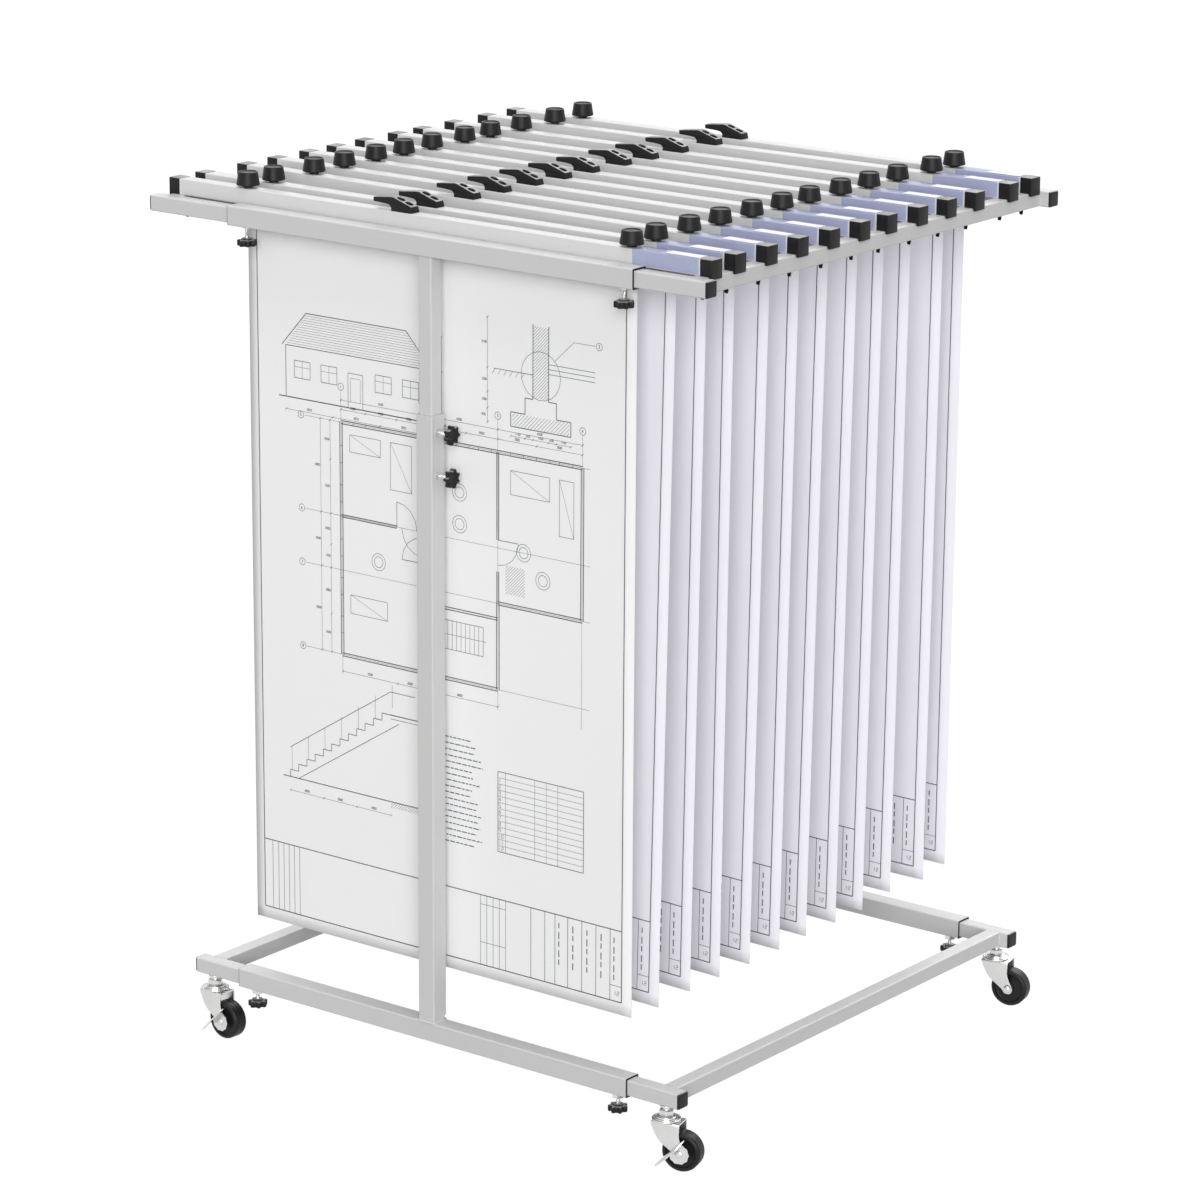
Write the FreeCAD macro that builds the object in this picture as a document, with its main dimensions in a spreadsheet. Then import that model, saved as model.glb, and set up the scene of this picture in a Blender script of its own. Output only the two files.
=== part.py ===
import FreeCAD, Part
import os
import re

import Sketcher

# Plan hanging rack on casters: a telescopic square-tube frame with twelve hanging clamps across it.
# X runs along the clamps, Y from the front rail to the back rail, Z up from the floor.
# The origin is on the floor, under the middle of the clamps. Millimetres and degrees throughout.

Vector = FreeCAD.Vector
Rotation = FreeCAD.Rotation

SIZES = {
    # square tubes of the frame
    "sleeve_width": 25.0,
    "sleeve_wall": 1.5,
    "arm_width": 20.0,
    "arm_wall": 1.5,
    "tube_corner": 1.8,
    "sleeve_length": 630.0,
    "upright_place": 14.0,
    "rail_spacing": 736.0,
    "base_rail_height": 92.0,
    "top_rail_height": 1095.0,
    "lower_post_top": 887.0,
    "upper_post_foot": 480.0,
    "notch_width": 4.0,
    "notch_height": 6.0,
    # sliding end frames
    "base_bar_reach": 378.0,
    "top_bar_reach": 419.0,
    "arm_overhang": 13.0,
    "base_arm_length": 250.0,
    "top_arm_length": 290.0,
    "cap_plate": 2.5,
    "cap_plug": 12.0,
    # plastic glide bushes in the tubes' mouths
    "bush_flange": 0.5,
    "bush_depth": 16.0,
    "glide_gap": 0.1,
    "press_gap": 0.05,
    # clamping screws of the frame
    "screw_radius": 2.5,
    "thread_gap": 0.05,
    "tip_gap": 0.3,
    "knob_inset": 21.0,
    "knob_standoff": 17.0,
    "star_radius": 12.5,
    "star_height": 8.0,
    "star_lobes": 7,
    "star_scallop": 3.6,
    "star_collar_radius": 6.5,
    "star_collar_height": 2.0,
    "weld_nut_flats": 13.0,
    "weld_nut_height": 7.0,
    "insert_nut_radius": 5.6,
    "insert_nut_height": 2.5,
    "insert_barrel": 3.5,
    "post_knob_upper": 865.0,
    "post_knob_lower": 811.0,
    # casters
    "caster_inset": 10.0,
    "wheel_radius": 25.0,
    "wheel_width": 20.0,
    "wheel_edge": 3.0,
    "wheel_recess": 3.5,
    "wheel_rim": 5.5,
    "hub_radius": 7.5,
    "axle_radius": 3.0,
    "running_gap": 0.05,
    "side_gap": 0.3,
    "wheel_side_gap": 1.5,
    "fork_plate": 2.0,
    "caster_trail": 22.5,
    "crown_top": 62.0,
    "crown_front": 15.5,
    "crown_back": 21.5,
    "crown_skirt": 2.5,
    "fork_neck_front": 6.3,
    "fork_neck_front_height": 38.8,
    "fork_neck_back_height": 42.5,
    "fork_lobe": 7.5,
    "fork_lobe_drop": 2.3,
    "stem_radius": 5.0,
    "race_radius": 18.2,
    "race_edge": 3.0,
    "race_dome": 2.5,
    "race_step": 1.0,
    "lock_nut_flats": 17.0,
    "lock_nut_height": 7.5,
    "stem_boss_radius": 8.5,
    "stem_boss_height": 3.0,
    "rivet_radius": 8.0,
    "rivet_height": 2.5,
    "rivet_gap": 0.2,
    "axle_head_radius": 5.0,
    "axle_head_height": 2.0,
    "lever_plate": 1.5,
    "lever_disc_radius": 13.0,
    "lever_bend_place": 9.0,
    "lever_blade_width": 11.0,
    "lever_blade_front": 33.0,
    "lever_blade_back": 20.0,
    "lever_nose_width": 6.0,
    "lever_tail_width": 3.3,
    "lever_shoulder_front": 13.2,
    "lever_shoulder_back": 5.0,
    "lever_slope": 45.0,
    "yaw_front_left": -3.0,
    "yaw_front_right": 15.0,
    "yaw_back_left": 8.0,
    "yaw_back_right": 11.0,
    # hanging clamps
    "hanger_count": 12,
    "beam_width": 20.0,
    "beam_height": 20.0,
    "beam_wall": 1.5,
    "beam_slot": 9.0,
    "beam_corner": 1.0,
    "end_cap_length": 17.4,
    "end_cap_rim": 0.5,
    "lip_gap": 1.0,
    "lip_thickness": 4.0,
    "lip_drop": 3.2,
    "hanger_side_gap": 0.7,
    "hanger_play": 4.0,
    "jaw_thickness": 2.0,
    "jaw_depth": 26.5,
    "jaw_end_gap": 2.5,
    "jaw_opening": 1.0,
    "jaw_flange": 5.0,
    "seat_gap": 0.3,
    "clamp_block_length": 18.0,
    "clamp_block_height": 8.0,
    "clamp_screw_radius": 3.0,
    "clamp_knob_inset": 124.0,
    "clamp_knob_bottom": 14.5,
    "clamp_knob_top": 12.0,
    "clamp_knob_height": 17.0,
    "clamp_knob_stem": 6.0,
    "clamp_knob_stem_height": 3.0,
    "clamp_knob_dish": 2.0,
    "clamp_knob_rim": 1.0,
    # lifting handle on each clamp
    "handle_place": -29.0,
    "handle_base": 32.0,
    "handle_arm": 29.0,
    "handle_height": 17.0,
    "handle_arm_thickness": 9.5,
    "handle_tip_drop": 3.0,
    "handle_tip_thickness": 5.4,
    "handle_throat": 4.2,
    "handle_toe": 8.0,
    "handle_width": 16.0,
    "handle_round": 1.5,
    "handle_screw_first": 12.0,
    "handle_screw_pitch": 11.0,
    "handle_screw_radius": 1.9,
    "handle_screw_head": 3.6,
    "handle_screw_head_height": 2.2,
    "handle_screw_seat": 4.0,
    "handle_screw_depth": 6.0,
    # label sleeve and its paper strip
    "label_end_gap": 2.0,
    "label_knob_gap": 2.6,
    "label_wall": 0.6,
    "label_gap": 0.2,
    "strip_length": 50.0,
    "strip_width": 16.0,
    "strip_thickness": 0.3,
    # drawings
    "paper_width": 609.6,
    "paper_length": 914.4,
    "paper_thickness": 0.2,
    "paper_shift": 10.0,
    "paper_grip": 8.0,
}

# How far each clamp's right and left end lies from an even spacing, front to back.
STRAY_RIGHT = [0, -15, -14, -13, -10, -8, -12, -7, -5, -4, 12, 0]
STRAY_LEFT = [2, -12, 5, 1, 1, -7, -12, -7, -17, -13, -4, -3]
# How much higher or lower each drawing is gripped than the clamp's nominal grip.
PAPER_LIFT = [-4, -3, -1, 0, -1, 0, 2, 2, 2, 10, 6, 14]
# How far each drawing is gripped to the right of the nominal place.
PAPER_ASIDE = [-6, 0, 0, 0, 0, 0, 0, 0, 0, 0, 0, 0]
# How many degrees each drawing hangs askew, about its lower right corner; below zero its foot swings left.
PAPER_TILT = [0, -1.0, -0.8, -0.5, -0.85, -0.8, -0.95, -0.8, -0.6, -0.45, -0.35, -0.2]
# Lengths closer than this count as equal.
NEAR = 1e-6
AXES = "xyz"

document = FreeCAD.newDocument("PlanHangingRack")
sizes = document.addObject("Spreadsheet::Sheet", "Sizes")


def fill_sheet():
    """Write every size into the spreadsheet, with its name beside it as the cell's alias."""
    for row, (alias, value) in enumerate(SIZES.items(), start=1):
        sizes.set(f"A{row}", alias.replace("_", " "))
        sizes.set(f"B{row}", str(value))
        sizes.setAlias(f"B{row}", alias)
    document.recompute()


def formula(text):
    """The expression text with each size's name pointing at the spreadsheet."""
    return re.sub(r"[a-z][a-z_]*", lambda word: "Sizes." + word[0] if word[0] in SIZES else word[0], text)


def number(text):
    """What an expression in the sizes' names comes to."""
    return float(sizes.evalExpression(formula(text)))


def bind(piece, bindings):
    """Tie properties of a document object to expressions in the sizes' names."""
    for path, text in bindings.items():
        piece.setExpression(path, formula(text))
    piece.recompute()
    return piece


def place(piece, x="0", y="0", z="0", axis=None, angle="0"):
    """Put a piece at x, y, z, turned by angle about an axis through its own origin."""
    if axis is not None:
        piece.Placement = FreeCAD.Placement(Vector(), Rotation(axis, 1))
        piece.setExpression("Placement.Rotation.Angle", formula(angle))
    return bind(piece, {"Placement.Base.x": x, "Placement.Base.y": y, "Placement.Base.z": z})


# ---------------------------------------------------------------- building blocks


def block(name, along, across, up, low_corner):
    """A box of along x across x up, from its low corner."""
    piece = document.addObject("Part::Box", name)
    bind(piece, {"Length": along, "Width": across, "Height": up})
    return place(piece, *low_corner)


def rod(name, radius, length, start, towards=Vector(0, 0, 1)):
    """A round rod from its start point."""
    piece = document.addObject("Part::Cylinder", name)
    piece.Placement = FreeCAD.Placement(Vector(), Rotation(Vector(0, 0, 1), towards))
    bind(piece, {"Radius": radius, "Height": length})
    return place(piece, *start)


def cone(name, foot_radius, head_radius, length, start):
    """An upright truncated cone from its start point."""
    piece = document.addObject("Part::Cone", name)
    bind(piece, {"Radius1": foot_radius, "Radius2": head_radius, "Height": length})
    return place(piece, *start)


def hexagon(name, flats, length, start):
    """An upright six-sided prism, measured across its flats."""
    piece = document.addObject("Part::Prism", name)
    piece.Polygon = 6
    bind(piece, {"Circumradius": f"({flats}) / sqrt(3)", "Height": length})
    return place(piece, *start)


def cut(name, base, *tools):
    """The base less every tool."""
    for number, tool in enumerate(tools, start=1):
        piece = document.addObject("Part::Cut", f"{name}_cut_{number}")
        piece.Base = base
        piece.Tool = tool
        piece.recompute()
        base = piece
    return base


def fuse(name, *members):
    """One solid from several that meet."""
    piece = document.addObject("Part::MultiFuse", name)
    piece.Shapes = list(members)
    piece.recompute()
    return piece


def group(name, *members):
    """Separate solids kept together, side by side."""
    piece = document.addObject("Part::Compound", name)
    piece.Links = list(members)
    piece.recompute()
    return piece


def rounded(name, base, radius, chosen):
    """The base with a round of the given radius on every edge that chosen picks."""
    piece = document.addObject("Part::Fillet", name)
    piece.Base = base
    size = sizes.get(radius)
    edges = enumerate(base.Shape.Edges, start=1)
    piece.Edges = [(number, size, size) for number, edge in edges if chosen(edge)]
    piece.recompute()
    return piece


def runs_along(axis):
    """A test for straight edges that run along the axis of the given letter."""

    def chosen(edge):
        if edge.Curve.TypeId != "Part::GeomLine":
            return False
        tangent = edge.tangentAt(edge.FirstParameter)
        return abs(abs(getattr(tangent, axis)) - 1) < NEAR

    return chosen


def outline(body, plane_role, points):
    """A closed sketch of straight lines on one of the body's origin planes, each corner bound to sizes."""
    sketch = body.newObject("Sketcher::SketchObject", f"{body.Name}_outline")
    plane = next(item for item in body.Origin.OriginFeatures if item.Role == plane_role)
    sketch.AttachmentSupport = [(plane, "")]
    sketch.MapMode = "FlatFace"
    count = len(points)
    corners = [Vector(number(across), number(up), 0) for across, up in points]
    for index, corner in enumerate(corners):
        sketch.addGeometry(Part.LineSegment(corner, corners[(index + 1) % count]), False)
    for index in range(count):
        sketch.addConstraint(Sketcher.Constraint("Coincident", index, 2, (index + 1) % count, 1))
    for index, (texts, corner) in enumerate(zip(points, corners)):
        for kind, text, amount in zip(("DistanceX", "DistanceY"), texts, corner):
            rule = sketch.addConstraint(Sketcher.Constraint(kind, -1, 1, index, 1, amount))
            sketch.setExpression(f"Constraints[{rule}]", formula(text))
    return sketch


def extruded(name, plane_role, points, length, side="One side"):
    """A body padded from a straight-sided outline."""
    body = document.addObject("PartDesign::Body", name)
    sketch = outline(body, plane_role, points)
    pad = body.newObject("PartDesign::Pad", f"{name}_pad")
    pad.Profile = sketch
    pad.SideType = side
    bind(pad, {"Length": length})
    return body


def moved(point, axis, distance):
    """A point moved by a distance along one axis."""
    return [f"{middle} + {distance}" if letter == axis else middle for letter, middle in zip(AXES, point)]


def square_bar(name, axis, width, length, start):
    """A square bar from the centre of its first end."""
    spans = [length if letter == axis else width for letter in AXES]
    low = [f"{middle} - ({width}) / 2" for middle in start]
    corner = [start[index] if letter == axis else low[index] for index, letter in enumerate(AXES)]
    return block(name, *spans, corner)


def square_tube(name, axis, width, wall, length, start):
    """A square tube with rounded long edges, from the centre of its first end."""
    bar = square_bar(f"{name}_bar", axis, width, length, start)
    outer = rounded(f"{name}_rounded", bar, "tube_corner", runs_along(axis))
    bore = f"{width} - 2 * {wall}"
    inner = square_bar(f"{name}_hollow", axis, bore, f"{length} + 2 * {wall}", moved(start, axis, f"-{wall}"))
    return cut(name, outer, inner)


# ---------------------------------------------------------------- places that several pieces share

LEFT, RIGHT = -1, 1
FRONT, BACK = -1, 1
SIDES = {"left": LEFT, "right": RIGHT}
RAILS = {"front": FRONT, "back": BACK}
HEIGHTS = {"base": "base_rail_height", "top": "top_rail_height"}
SLEEVE_START = "upright_place - sleeve_length / 2"
SLEEVE_END = "upright_place + sleeve_length / 2"


def rail_y(rail):
    """The rail's centre line across the rack."""
    return f"{rail} * rail_spacing / 2"


def bar_face(level, side):
    """The outer face of an end frame's cross bar."""
    if level == "base":
        return f"upright_place + {side} * base_bar_reach"
    return f"{side} * top_bar_reach"


def knob_x(side):
    """Where the clamping screw under a sleeve stands."""
    return f"upright_place + {side} * (sleeve_length / 2 - knob_inset)"


def screw_hole(name, start, towards=Vector(0, 0, 1)):
    """A hole through one wall of a sleeve for a clamping screw's nut or insert."""
    return rod(name, "insert_barrel + press_gap", "2 * sleeve_wall", start, towards)


# ---------------------------------------------------------------- fixed frame: sleeves and posts


def sleeve(level, rail_name):
    """One of the four horizontal sleeves, with a screw hole in its floor near each end."""
    name = f"{level}_{rail_name}_sleeve"
    start = (SLEEVE_START, rail_y(RAILS[rail_name]), HEIGHTS[level])
    tube = square_tube(name, "x", "sleeve_width", "sleeve_wall", "sleeve_length", start)
    floor = f"{HEIGHTS[level]} - sleeve_width / 2 - sleeve_wall / 2"
    holes = [
        screw_hole(f"{name}_hole_{side_name}", (knob_x(side), rail_y(RAILS[rail_name]), floor))
        for side_name, side in SIDES.items()
    ]
    return cut(f"{name}_drilled", tube, *holes)


def lower_post(rail_name):
    """The outer tube of an upright, welded on the base sleeve, with two screw holes and a drain notch."""
    rail = RAILS[rail_name]
    name = f"{rail_name}_lower_post"
    foot = "base_rail_height + sleeve_width / 2"
    height = f"lower_post_top - ({foot})"
    start = ("upright_place", rail_y(rail), foot)
    tube = square_tube(name, "z", "sleeve_width", "sleeve_wall", height, start)
    towards = Vector(-rail, 0, 0)
    wall = f"upright_place - {rail} * (sleeve_width / 2 - 1.5 * sleeve_wall)"
    holes = [
        screw_hole(f"{name}_hole_{height}", (wall, rail_y(rail), height), towards)
        for height in ("post_knob_upper", "post_knob_lower")
    ]
    cut_width = "notch_width + sleeve_wall"
    notch_x = f"upright_place - {rail} * (sleeve_width / 2 - sleeve_wall) - sleeve_wall"
    notch_y = f"{rail_y(rail)} - {rail} * (sleeve_width / 2 - notch_width / 2) - ({cut_width}) / 2"
    notch = block(f"{name}_notch", "2 * sleeve_wall", cut_width, "notch_height", (notch_x, notch_y, foot))
    return cut(f"{name}_drilled", tube, *holes, notch)


def upper_post(rail_name):
    """The inner tube of an upright, welded under the top sleeve."""
    head = "top_rail_height - sleeve_width / 2"
    start = ("upright_place", rail_y(RAILS[rail_name]), "upper_post_foot")
    name = f"{rail_name}_upper_post"
    return square_tube(name, "z", "arm_width", "arm_wall", f"{head} - upper_post_foot", start)


def hex_nut(name, centre):
    """A nut welded under a base sleeve."""
    x, y, z = centre
    body = hexagon(f"{name}_body", "weld_nut_flats", "weld_nut_height", (x, y, f"{z} - weld_nut_height"))
    below = (x, y, f"{z} - 2 * weld_nut_height")
    bore = rod(f"{name}_bore", "screw_radius + thread_gap", "3 * weld_nut_height", below)
    return cut(name, body, bore)


def insert_nut(name, face, towards):
    """A flanged thread insert: its flange lies on the tube's outer face and its barrel fills the wall."""
    reach = Vector(towards)
    flange = rod(f"{name}_flange", "insert_nut_radius", "insert_nut_height", face, reach)
    behind = [f"{start} - {step} * sleeve_wall" for start, step in zip(face, reach)]
    barrel = rod(f"{name}_barrel", "insert_barrel", "2 * sleeve_wall", behind, reach)
    bore_start = [f"{start} - {step} * 2 * sleeve_wall" for start, step in zip(face, reach)]
    bore_length = "4 * sleeve_wall + insert_nut_height"
    bore = rod(f"{name}_bore", "screw_radius + thread_gap", bore_length, bore_start, reach)
    return cut(name, fuse(f"{name}_solid", flange, barrel), bore)


def sleeve_face(level, rail_name, side):
    """The point on a sleeve's underside where its clamping screw goes in."""
    return (knob_x(side), rail_y(RAILS[rail_name]), f"{HEIGHTS[level]} - sleeve_width / 2")


def post_face(rail_name, height):
    """The point on a lower post's side where a clamping screw goes in: right in front, left at the back."""
    rail = RAILS[rail_name]
    return (f"upright_place - {rail} * sleeve_width / 2", rail_y(rail), height)


def glide_bush(name, axis, inwards, mouth, flanged=True):
    """A plastic bush pressed into a tube's mouth; inwards is the sign of the way in along the axis."""
    spigot_width = "sleeve_width - 2 * sleeve_wall - 2 * press_gap"
    low = mouth if inwards > 0 else moved(mouth, axis, "-bush_depth")
    solid = square_bar(f"{name}_spigot", axis, spigot_width, "bush_depth", low)
    if flanged:
        outside = moved(mouth, axis, "-bush_flange") if inwards > 0 else mouth
        flange_bar = square_bar(f"{name}_flange_bar", axis, "sleeve_width", "bush_flange", outside)
        flange = rounded(f"{name}_flange", flange_bar, "tube_corner", runs_along(axis))
        solid = fuse(f"{name}_solid", solid, flange)
    before = moved(low, axis, "-bush_depth")
    opening = square_bar(f"{name}_opening", axis, "arm_width + 2 * glide_gap", "3 * bush_depth", before)
    return cut(name, solid, opening)


def sleeve_bushes(level):
    """The flanged bushes in both mouths of the two sleeves at one level."""
    bushes = []
    for rail_name, rail in RAILS.items():
        for side_name, side in SIDES.items():
            mouth = (SLEEVE_START if side == LEFT else SLEEVE_END, rail_y(rail), HEIGHTS[level])
            bushes.append(glide_bush(f"{level}_{rail_name}_{side_name}_bush", "x", -side, mouth))
    return bushes


def build_fixed_frame():
    """The base with its uprights' outer tubes, and the top frame that slides in them."""
    nodes = {
        "base_sleeves": [sleeve("base", rail) for rail in RAILS],
        "lower_posts": [lower_post(rail) for rail in RAILS],
        "top_sleeves": [sleeve("top", rail) for rail in RAILS],
        "upper_posts": [upper_post(rail) for rail in RAILS],
        "base_glide_bushes": sleeve_bushes("base"),
        "top_glide_bushes": sleeve_bushes("top"),
    }
    for rail_name, rail in RAILS.items():
        mouth = ("upright_place", rail_y(rail), "lower_post_top")
        nodes["base_glide_bushes"].append(glide_bush(f"{rail_name}_post_bush", "z", -1, mouth, flanged=False))
    down = Vector(0, 0, -1)
    pairs = [(rail, side) for rail in RAILS for side in SIDES]
    nodes["base_screw_nuts"] = [
        hex_nut(f"base_{rail}_{side}_nut", sleeve_face("base", rail, SIDES[side])) for rail, side in pairs
    ]
    nodes["base_screw_nuts"] += [
        insert_nut(f"{rail}_{height}_insert", post_face(rail, height), Vector(-RAILS[rail], 0, 0))
        for rail in RAILS
        for height in ("post_knob_upper", "post_knob_lower")
    ]
    nodes["top_screw_nuts"] = [
        insert_nut(f"top_{rail}_{side}_insert", sleeve_face("top", rail, SIDES[side]), down)
        for rail, side in pairs
    ]
    return nodes


# ---------------------------------------------------------------- sliding end frames


def end_cap(name, face, side, rail_name, level):
    """A black cap: its plate covers the arm's end and its plug fills the tube's mouth."""
    height = HEIGHTS[level]
    y = rail_y(RAILS[rail_name])
    plate_start = face if side == RIGHT else f"{face} - cap_plate"
    plug_start = f"{face} - cap_plug" if side == RIGHT else face
    plate_bar = square_bar(f"{name}_bar", "x", "arm_width", "cap_plate", (plate_start, y, height))
    plate = rounded(f"{name}_plate", plate_bar, "tube_corner", runs_along("x"))
    plug_width = "arm_width - 2 * arm_wall - 2 * press_gap"
    plug = square_bar(f"{name}_plug", "x", plug_width, "cap_plug", (plug_start, y, height))
    return fuse(name, plate, plug)


def arm(name, level, rail_name, side):
    """One arm of an end frame: the inner tube that slides in the sleeve."""
    length = f"{level}_arm_length"
    end = f"{bar_face(level, side)} + {side} * arm_overhang"
    start = (f"{end} - {length}" if side == RIGHT else end, rail_y(RAILS[rail_name]), HEIGHTS[level])
    tube = square_tube(name, "x", "arm_width", "arm_wall", length, start)
    if level == "top":
        return tube
    floor = (stem_x(side), rail_y(RAILS[rail_name]), "base_rail_height - arm_width / 2 - arm_wall / 2")
    hole = rod(f"{name}_stem_hole", "stem_radius + press_gap", "2 * arm_wall", floor)
    return cut(f"{name}_drilled", tube, hole)


def end_frame(level, side_name):
    """A U-shaped end frame: two arms and the cross bar welded between them."""
    side = SIDES[side_name]
    name = f"{level}_{side_name}"
    face = bar_face(level, side)
    bar = square_tube(
        f"{name}_cross_bar",
        "y",
        "arm_width",
        "arm_wall",
        "rail_spacing - arm_width",
        (f"{face} - {side} * arm_width / 2", "-(rail_spacing - arm_width) / 2", HEIGHTS[level]),
    )
    arms = [arm(f"{name}_{rail}_arm", level, rail, side) for rail in RAILS]
    end = f"{face} + {side} * arm_overhang"
    caps = [end_cap(f"{name}_{rail}_cap", end, side, rail, level) for rail in RAILS]
    return {f"{name}_end_frame": [*arms, bar], f"{name}_tube_caps": caps}


# ---------------------------------------------------------------- star knobs


def star_knob_head():
    """The knob's star-shaped head: a disc with scallops round its rim and a collar towards the screw."""
    body = document.addObject("PartDesign::Body", "star_head")
    disc = round_sketch(body, "star_disc", "star_radius", "0")
    pad = body.newObject("PartDesign::Pad", "star_pad")
    pad.Profile = disc
    pad.Reversed = True
    bind(pad, {"Length": "star_height"})
    scallop = round_sketch(body, "star_scallop_outline", "star_scallop", "star_radius + star_scallop / 3")
    pocket = body.newObject("PartDesign::Pocket", "star_pocket")
    pocket.Profile = scallop
    bind(pocket, {"Length": "star_height"})
    document.recompute()
    full = pad.Shape.Volume
    if not pocket.Shape.Volume < full:
        raise ValueError("the star knob's scallop cuts nothing")
    pattern = body.newObject("PartDesign::PolarPattern", "star_pattern")
    pattern.Originals = [pocket]
    turn = next(item for item in body.Origin.OriginFeatures if item.Role == "Z_Axis")
    pattern.Axis = (turn, [""])
    pattern.Angle = 360
    pattern.setExpression("Occurrences", formula("star_lobes"))
    body.Tip = pattern
    document.recompute()
    return body


def round_sketch(body, name, radius, across):
    """A sketch of one circle on the body's ground plane, with its centre on the X axis."""
    sketch = body.newObject("Sketcher::SketchObject", name)
    plane = next(item for item in body.Origin.OriginFeatures if item.Role == "XY_Plane")
    sketch.AttachmentSupport = [(plane, "")]
    sketch.MapMode = "FlatFace"
    centre = Vector(number(across), 0, 0)
    sketch.addGeometry(Part.Circle(centre, Vector(0, 0, 1), number(radius)), False)
    size_rule = sketch.addConstraint(Sketcher.Constraint("Radius", 0, number(radius)))
    sketch.setExpression(f"Constraints[{size_rule}]", formula(radius))
    across_rule = sketch.addConstraint(Sketcher.Constraint("DistanceX", -1, 1, 0, 3, centre.x))
    sketch.setExpression(f"Constraints[{across_rule}]", formula(across))
    sketch.addConstraint(Sketcher.Constraint("PointOnObject", 0, 3, -1))
    return sketch


def star_knob():
    """A clamping knob with its screw up: the origin is on the face that the nut stands on."""
    top = "-knob_standoff"
    head = star_knob_head()
    place(head, z=top)
    collar = rod("star_collar", "star_collar_radius", "star_collar_height", ("0", "0", top))
    plain_head = fuse("star_knob_plain", head, collar)
    screw_foot = ("0", "0", f"{top} - star_height / 2")
    seat = rod("star_seat", "screw_radius", "2 * star_collar_height + star_height / 2", screw_foot)
    bored = cut("star_knob_head", plain_head, seat)
    tip = "(sleeve_width - arm_width) / 2 - tip_gap"
    screw = rod("star_knob_screw", "screw_radius", f"knob_standoff + star_height / 2 + {tip}", screw_foot)
    return group("star_knob", bored, screw)


def build_star_knobs():
    """Twelve clamping knobs: under both ends of each sleeve, and two on each upright."""
    knob = star_knob()
    nodes = {}
    for level in HEIGHTS:
        for rail_name in RAILS:
            for side_name, side in SIDES.items():
                name = f"{level}_{rail_name}_{side_name}_knob"
                nodes[name] = [place(group(f"{name}_set", knob), *sleeve_face(level, rail_name, side))]
    for rail_name, rail in RAILS.items():
        for label, height in (("upper", "post_knob_upper"), ("lower", "post_knob_lower")):
            node = group(f"{rail_name}_post_{label}_knob_set", knob)
            turn = f"{rail} * 90"
            nodes[f"{rail_name}_post_{label}_knob"] = [
                place(node, *post_face(rail_name, height), axis=Vector(0, 1, 0), angle=turn)
            ]
    return nodes


# ---------------------------------------------------------------- casters


def stem_x(side):
    """The axis of a caster's stem: inside the cross bar's outer face."""
    return f"upright_place + {side} * (base_bar_reach - caster_inset)"


def caster_stem():
    """The riveted stem with its race, its lock nut and the boss welded under the arm."""
    race_foot = "crown_top + side_gap"
    race_top = f"{race_foot} + race_edge + race_dome"
    arm_floor = "base_rail_height - arm_width / 2"
    race_head = ("0", "0", f"{race_foot} + race_edge")
    nut_radius = "lock_nut_flats / 2"
    race = fuse(
        "stem_race",
        rod("race_disc", "race_radius", "race_edge", ("0", "0", race_foot)),
        cone("race_cone", "race_radius - race_step", f"{nut_radius} + race_step", "race_dome", race_head),
        rod("stem_rod", "stem_radius", f"base_rail_height - {rivet_foot()}", ("0", "0", rivet_foot())),
        rod("stem_rivet", "rivet_radius", "rivet_height", ("0", "0", rivet_foot())),
    )
    below_nut = ("0", "0", f"{race_top} - lock_nut_height")
    nut_hole = rod("nut_hole", "stem_radius", "3 * lock_nut_height", below_nut)
    nut_body = hexagon("nut_body", "lock_nut_flats", "lock_nut_height", ("0", "0", race_top))
    boss_foot = f"{arm_floor} - stem_boss_height"
    below_boss = ("0", "0", f"{boss_foot} - stem_boss_height")
    boss_hole = rod("boss_hole", "stem_radius", "3 * stem_boss_height", below_boss)
    boss_body = rod("boss_body", "stem_boss_radius", "stem_boss_height", ("0", "0", boss_foot))
    return [race, cut("stem_lock_nut", nut_body, nut_hole), cut("stem_boss", boss_body, boss_hole)]


def rivet_foot():
    """The height of the underside of the stem's rivet head."""
    return "(crown_top - fork_plate - rivet_gap - rivet_height)"


def caster_fork():
    """The swivelling fork: a crown and two side plates that end in a lobe round the axle, and the axle."""
    half = "(wheel_width / 2 + wheel_side_gap + fork_plate)"
    lobe_left = "(caster_trail - fork_lobe)"
    lobe_right = "(caster_trail + fork_lobe)"
    side_view = [
        ("-crown_front", "crown_top"),
        ("-crown_front", "crown_top - crown_skirt"),
        ("-fork_neck_front", "fork_neck_front_height"),
        (lobe_left, "wheel_radius - fork_lobe_drop"),
        (lobe_right, "wheel_radius"),
        ("crown_back", "fork_neck_back_height"),
        ("crown_back", "crown_top"),
    ]
    sides = extruded("fork_profile", "XZ_Plane", side_view, f"2 * {half}", "Symmetric")
    across = Vector(0, -1, 0)
    lobe = rod("fork_lobe_disc", "fork_lobe", f"2 * {half}", ("caster_trail", half, "wheel_radius"), across)
    room = block(
        "fork_room",
        "8 * wheel_radius",
        f"2 * {half} - 2 * fork_plate",
        "crown_top - fork_plate + wheel_radius",
        ("-4 * wheel_radius", f"fork_plate - {half}", "-wheel_radius"),
    )
    crown_middle = ("0", "0", "crown_top - 2 * fork_plate")
    swivel = rod("fork_swivel_hole", "stem_radius + running_gap", "4 * fork_plate", crown_middle)
    beyond = ("caster_trail", f"2 * {half}", "wheel_radius")
    axle_hole = rod("fork_axle_hole", "axle_radius", f"4 * {half}", beyond, across)
    shell = cut("fork_shell", fuse("fork_solid", sides, lobe), room, swivel, axle_hole)
    return shell, caster_axle(half)


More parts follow.
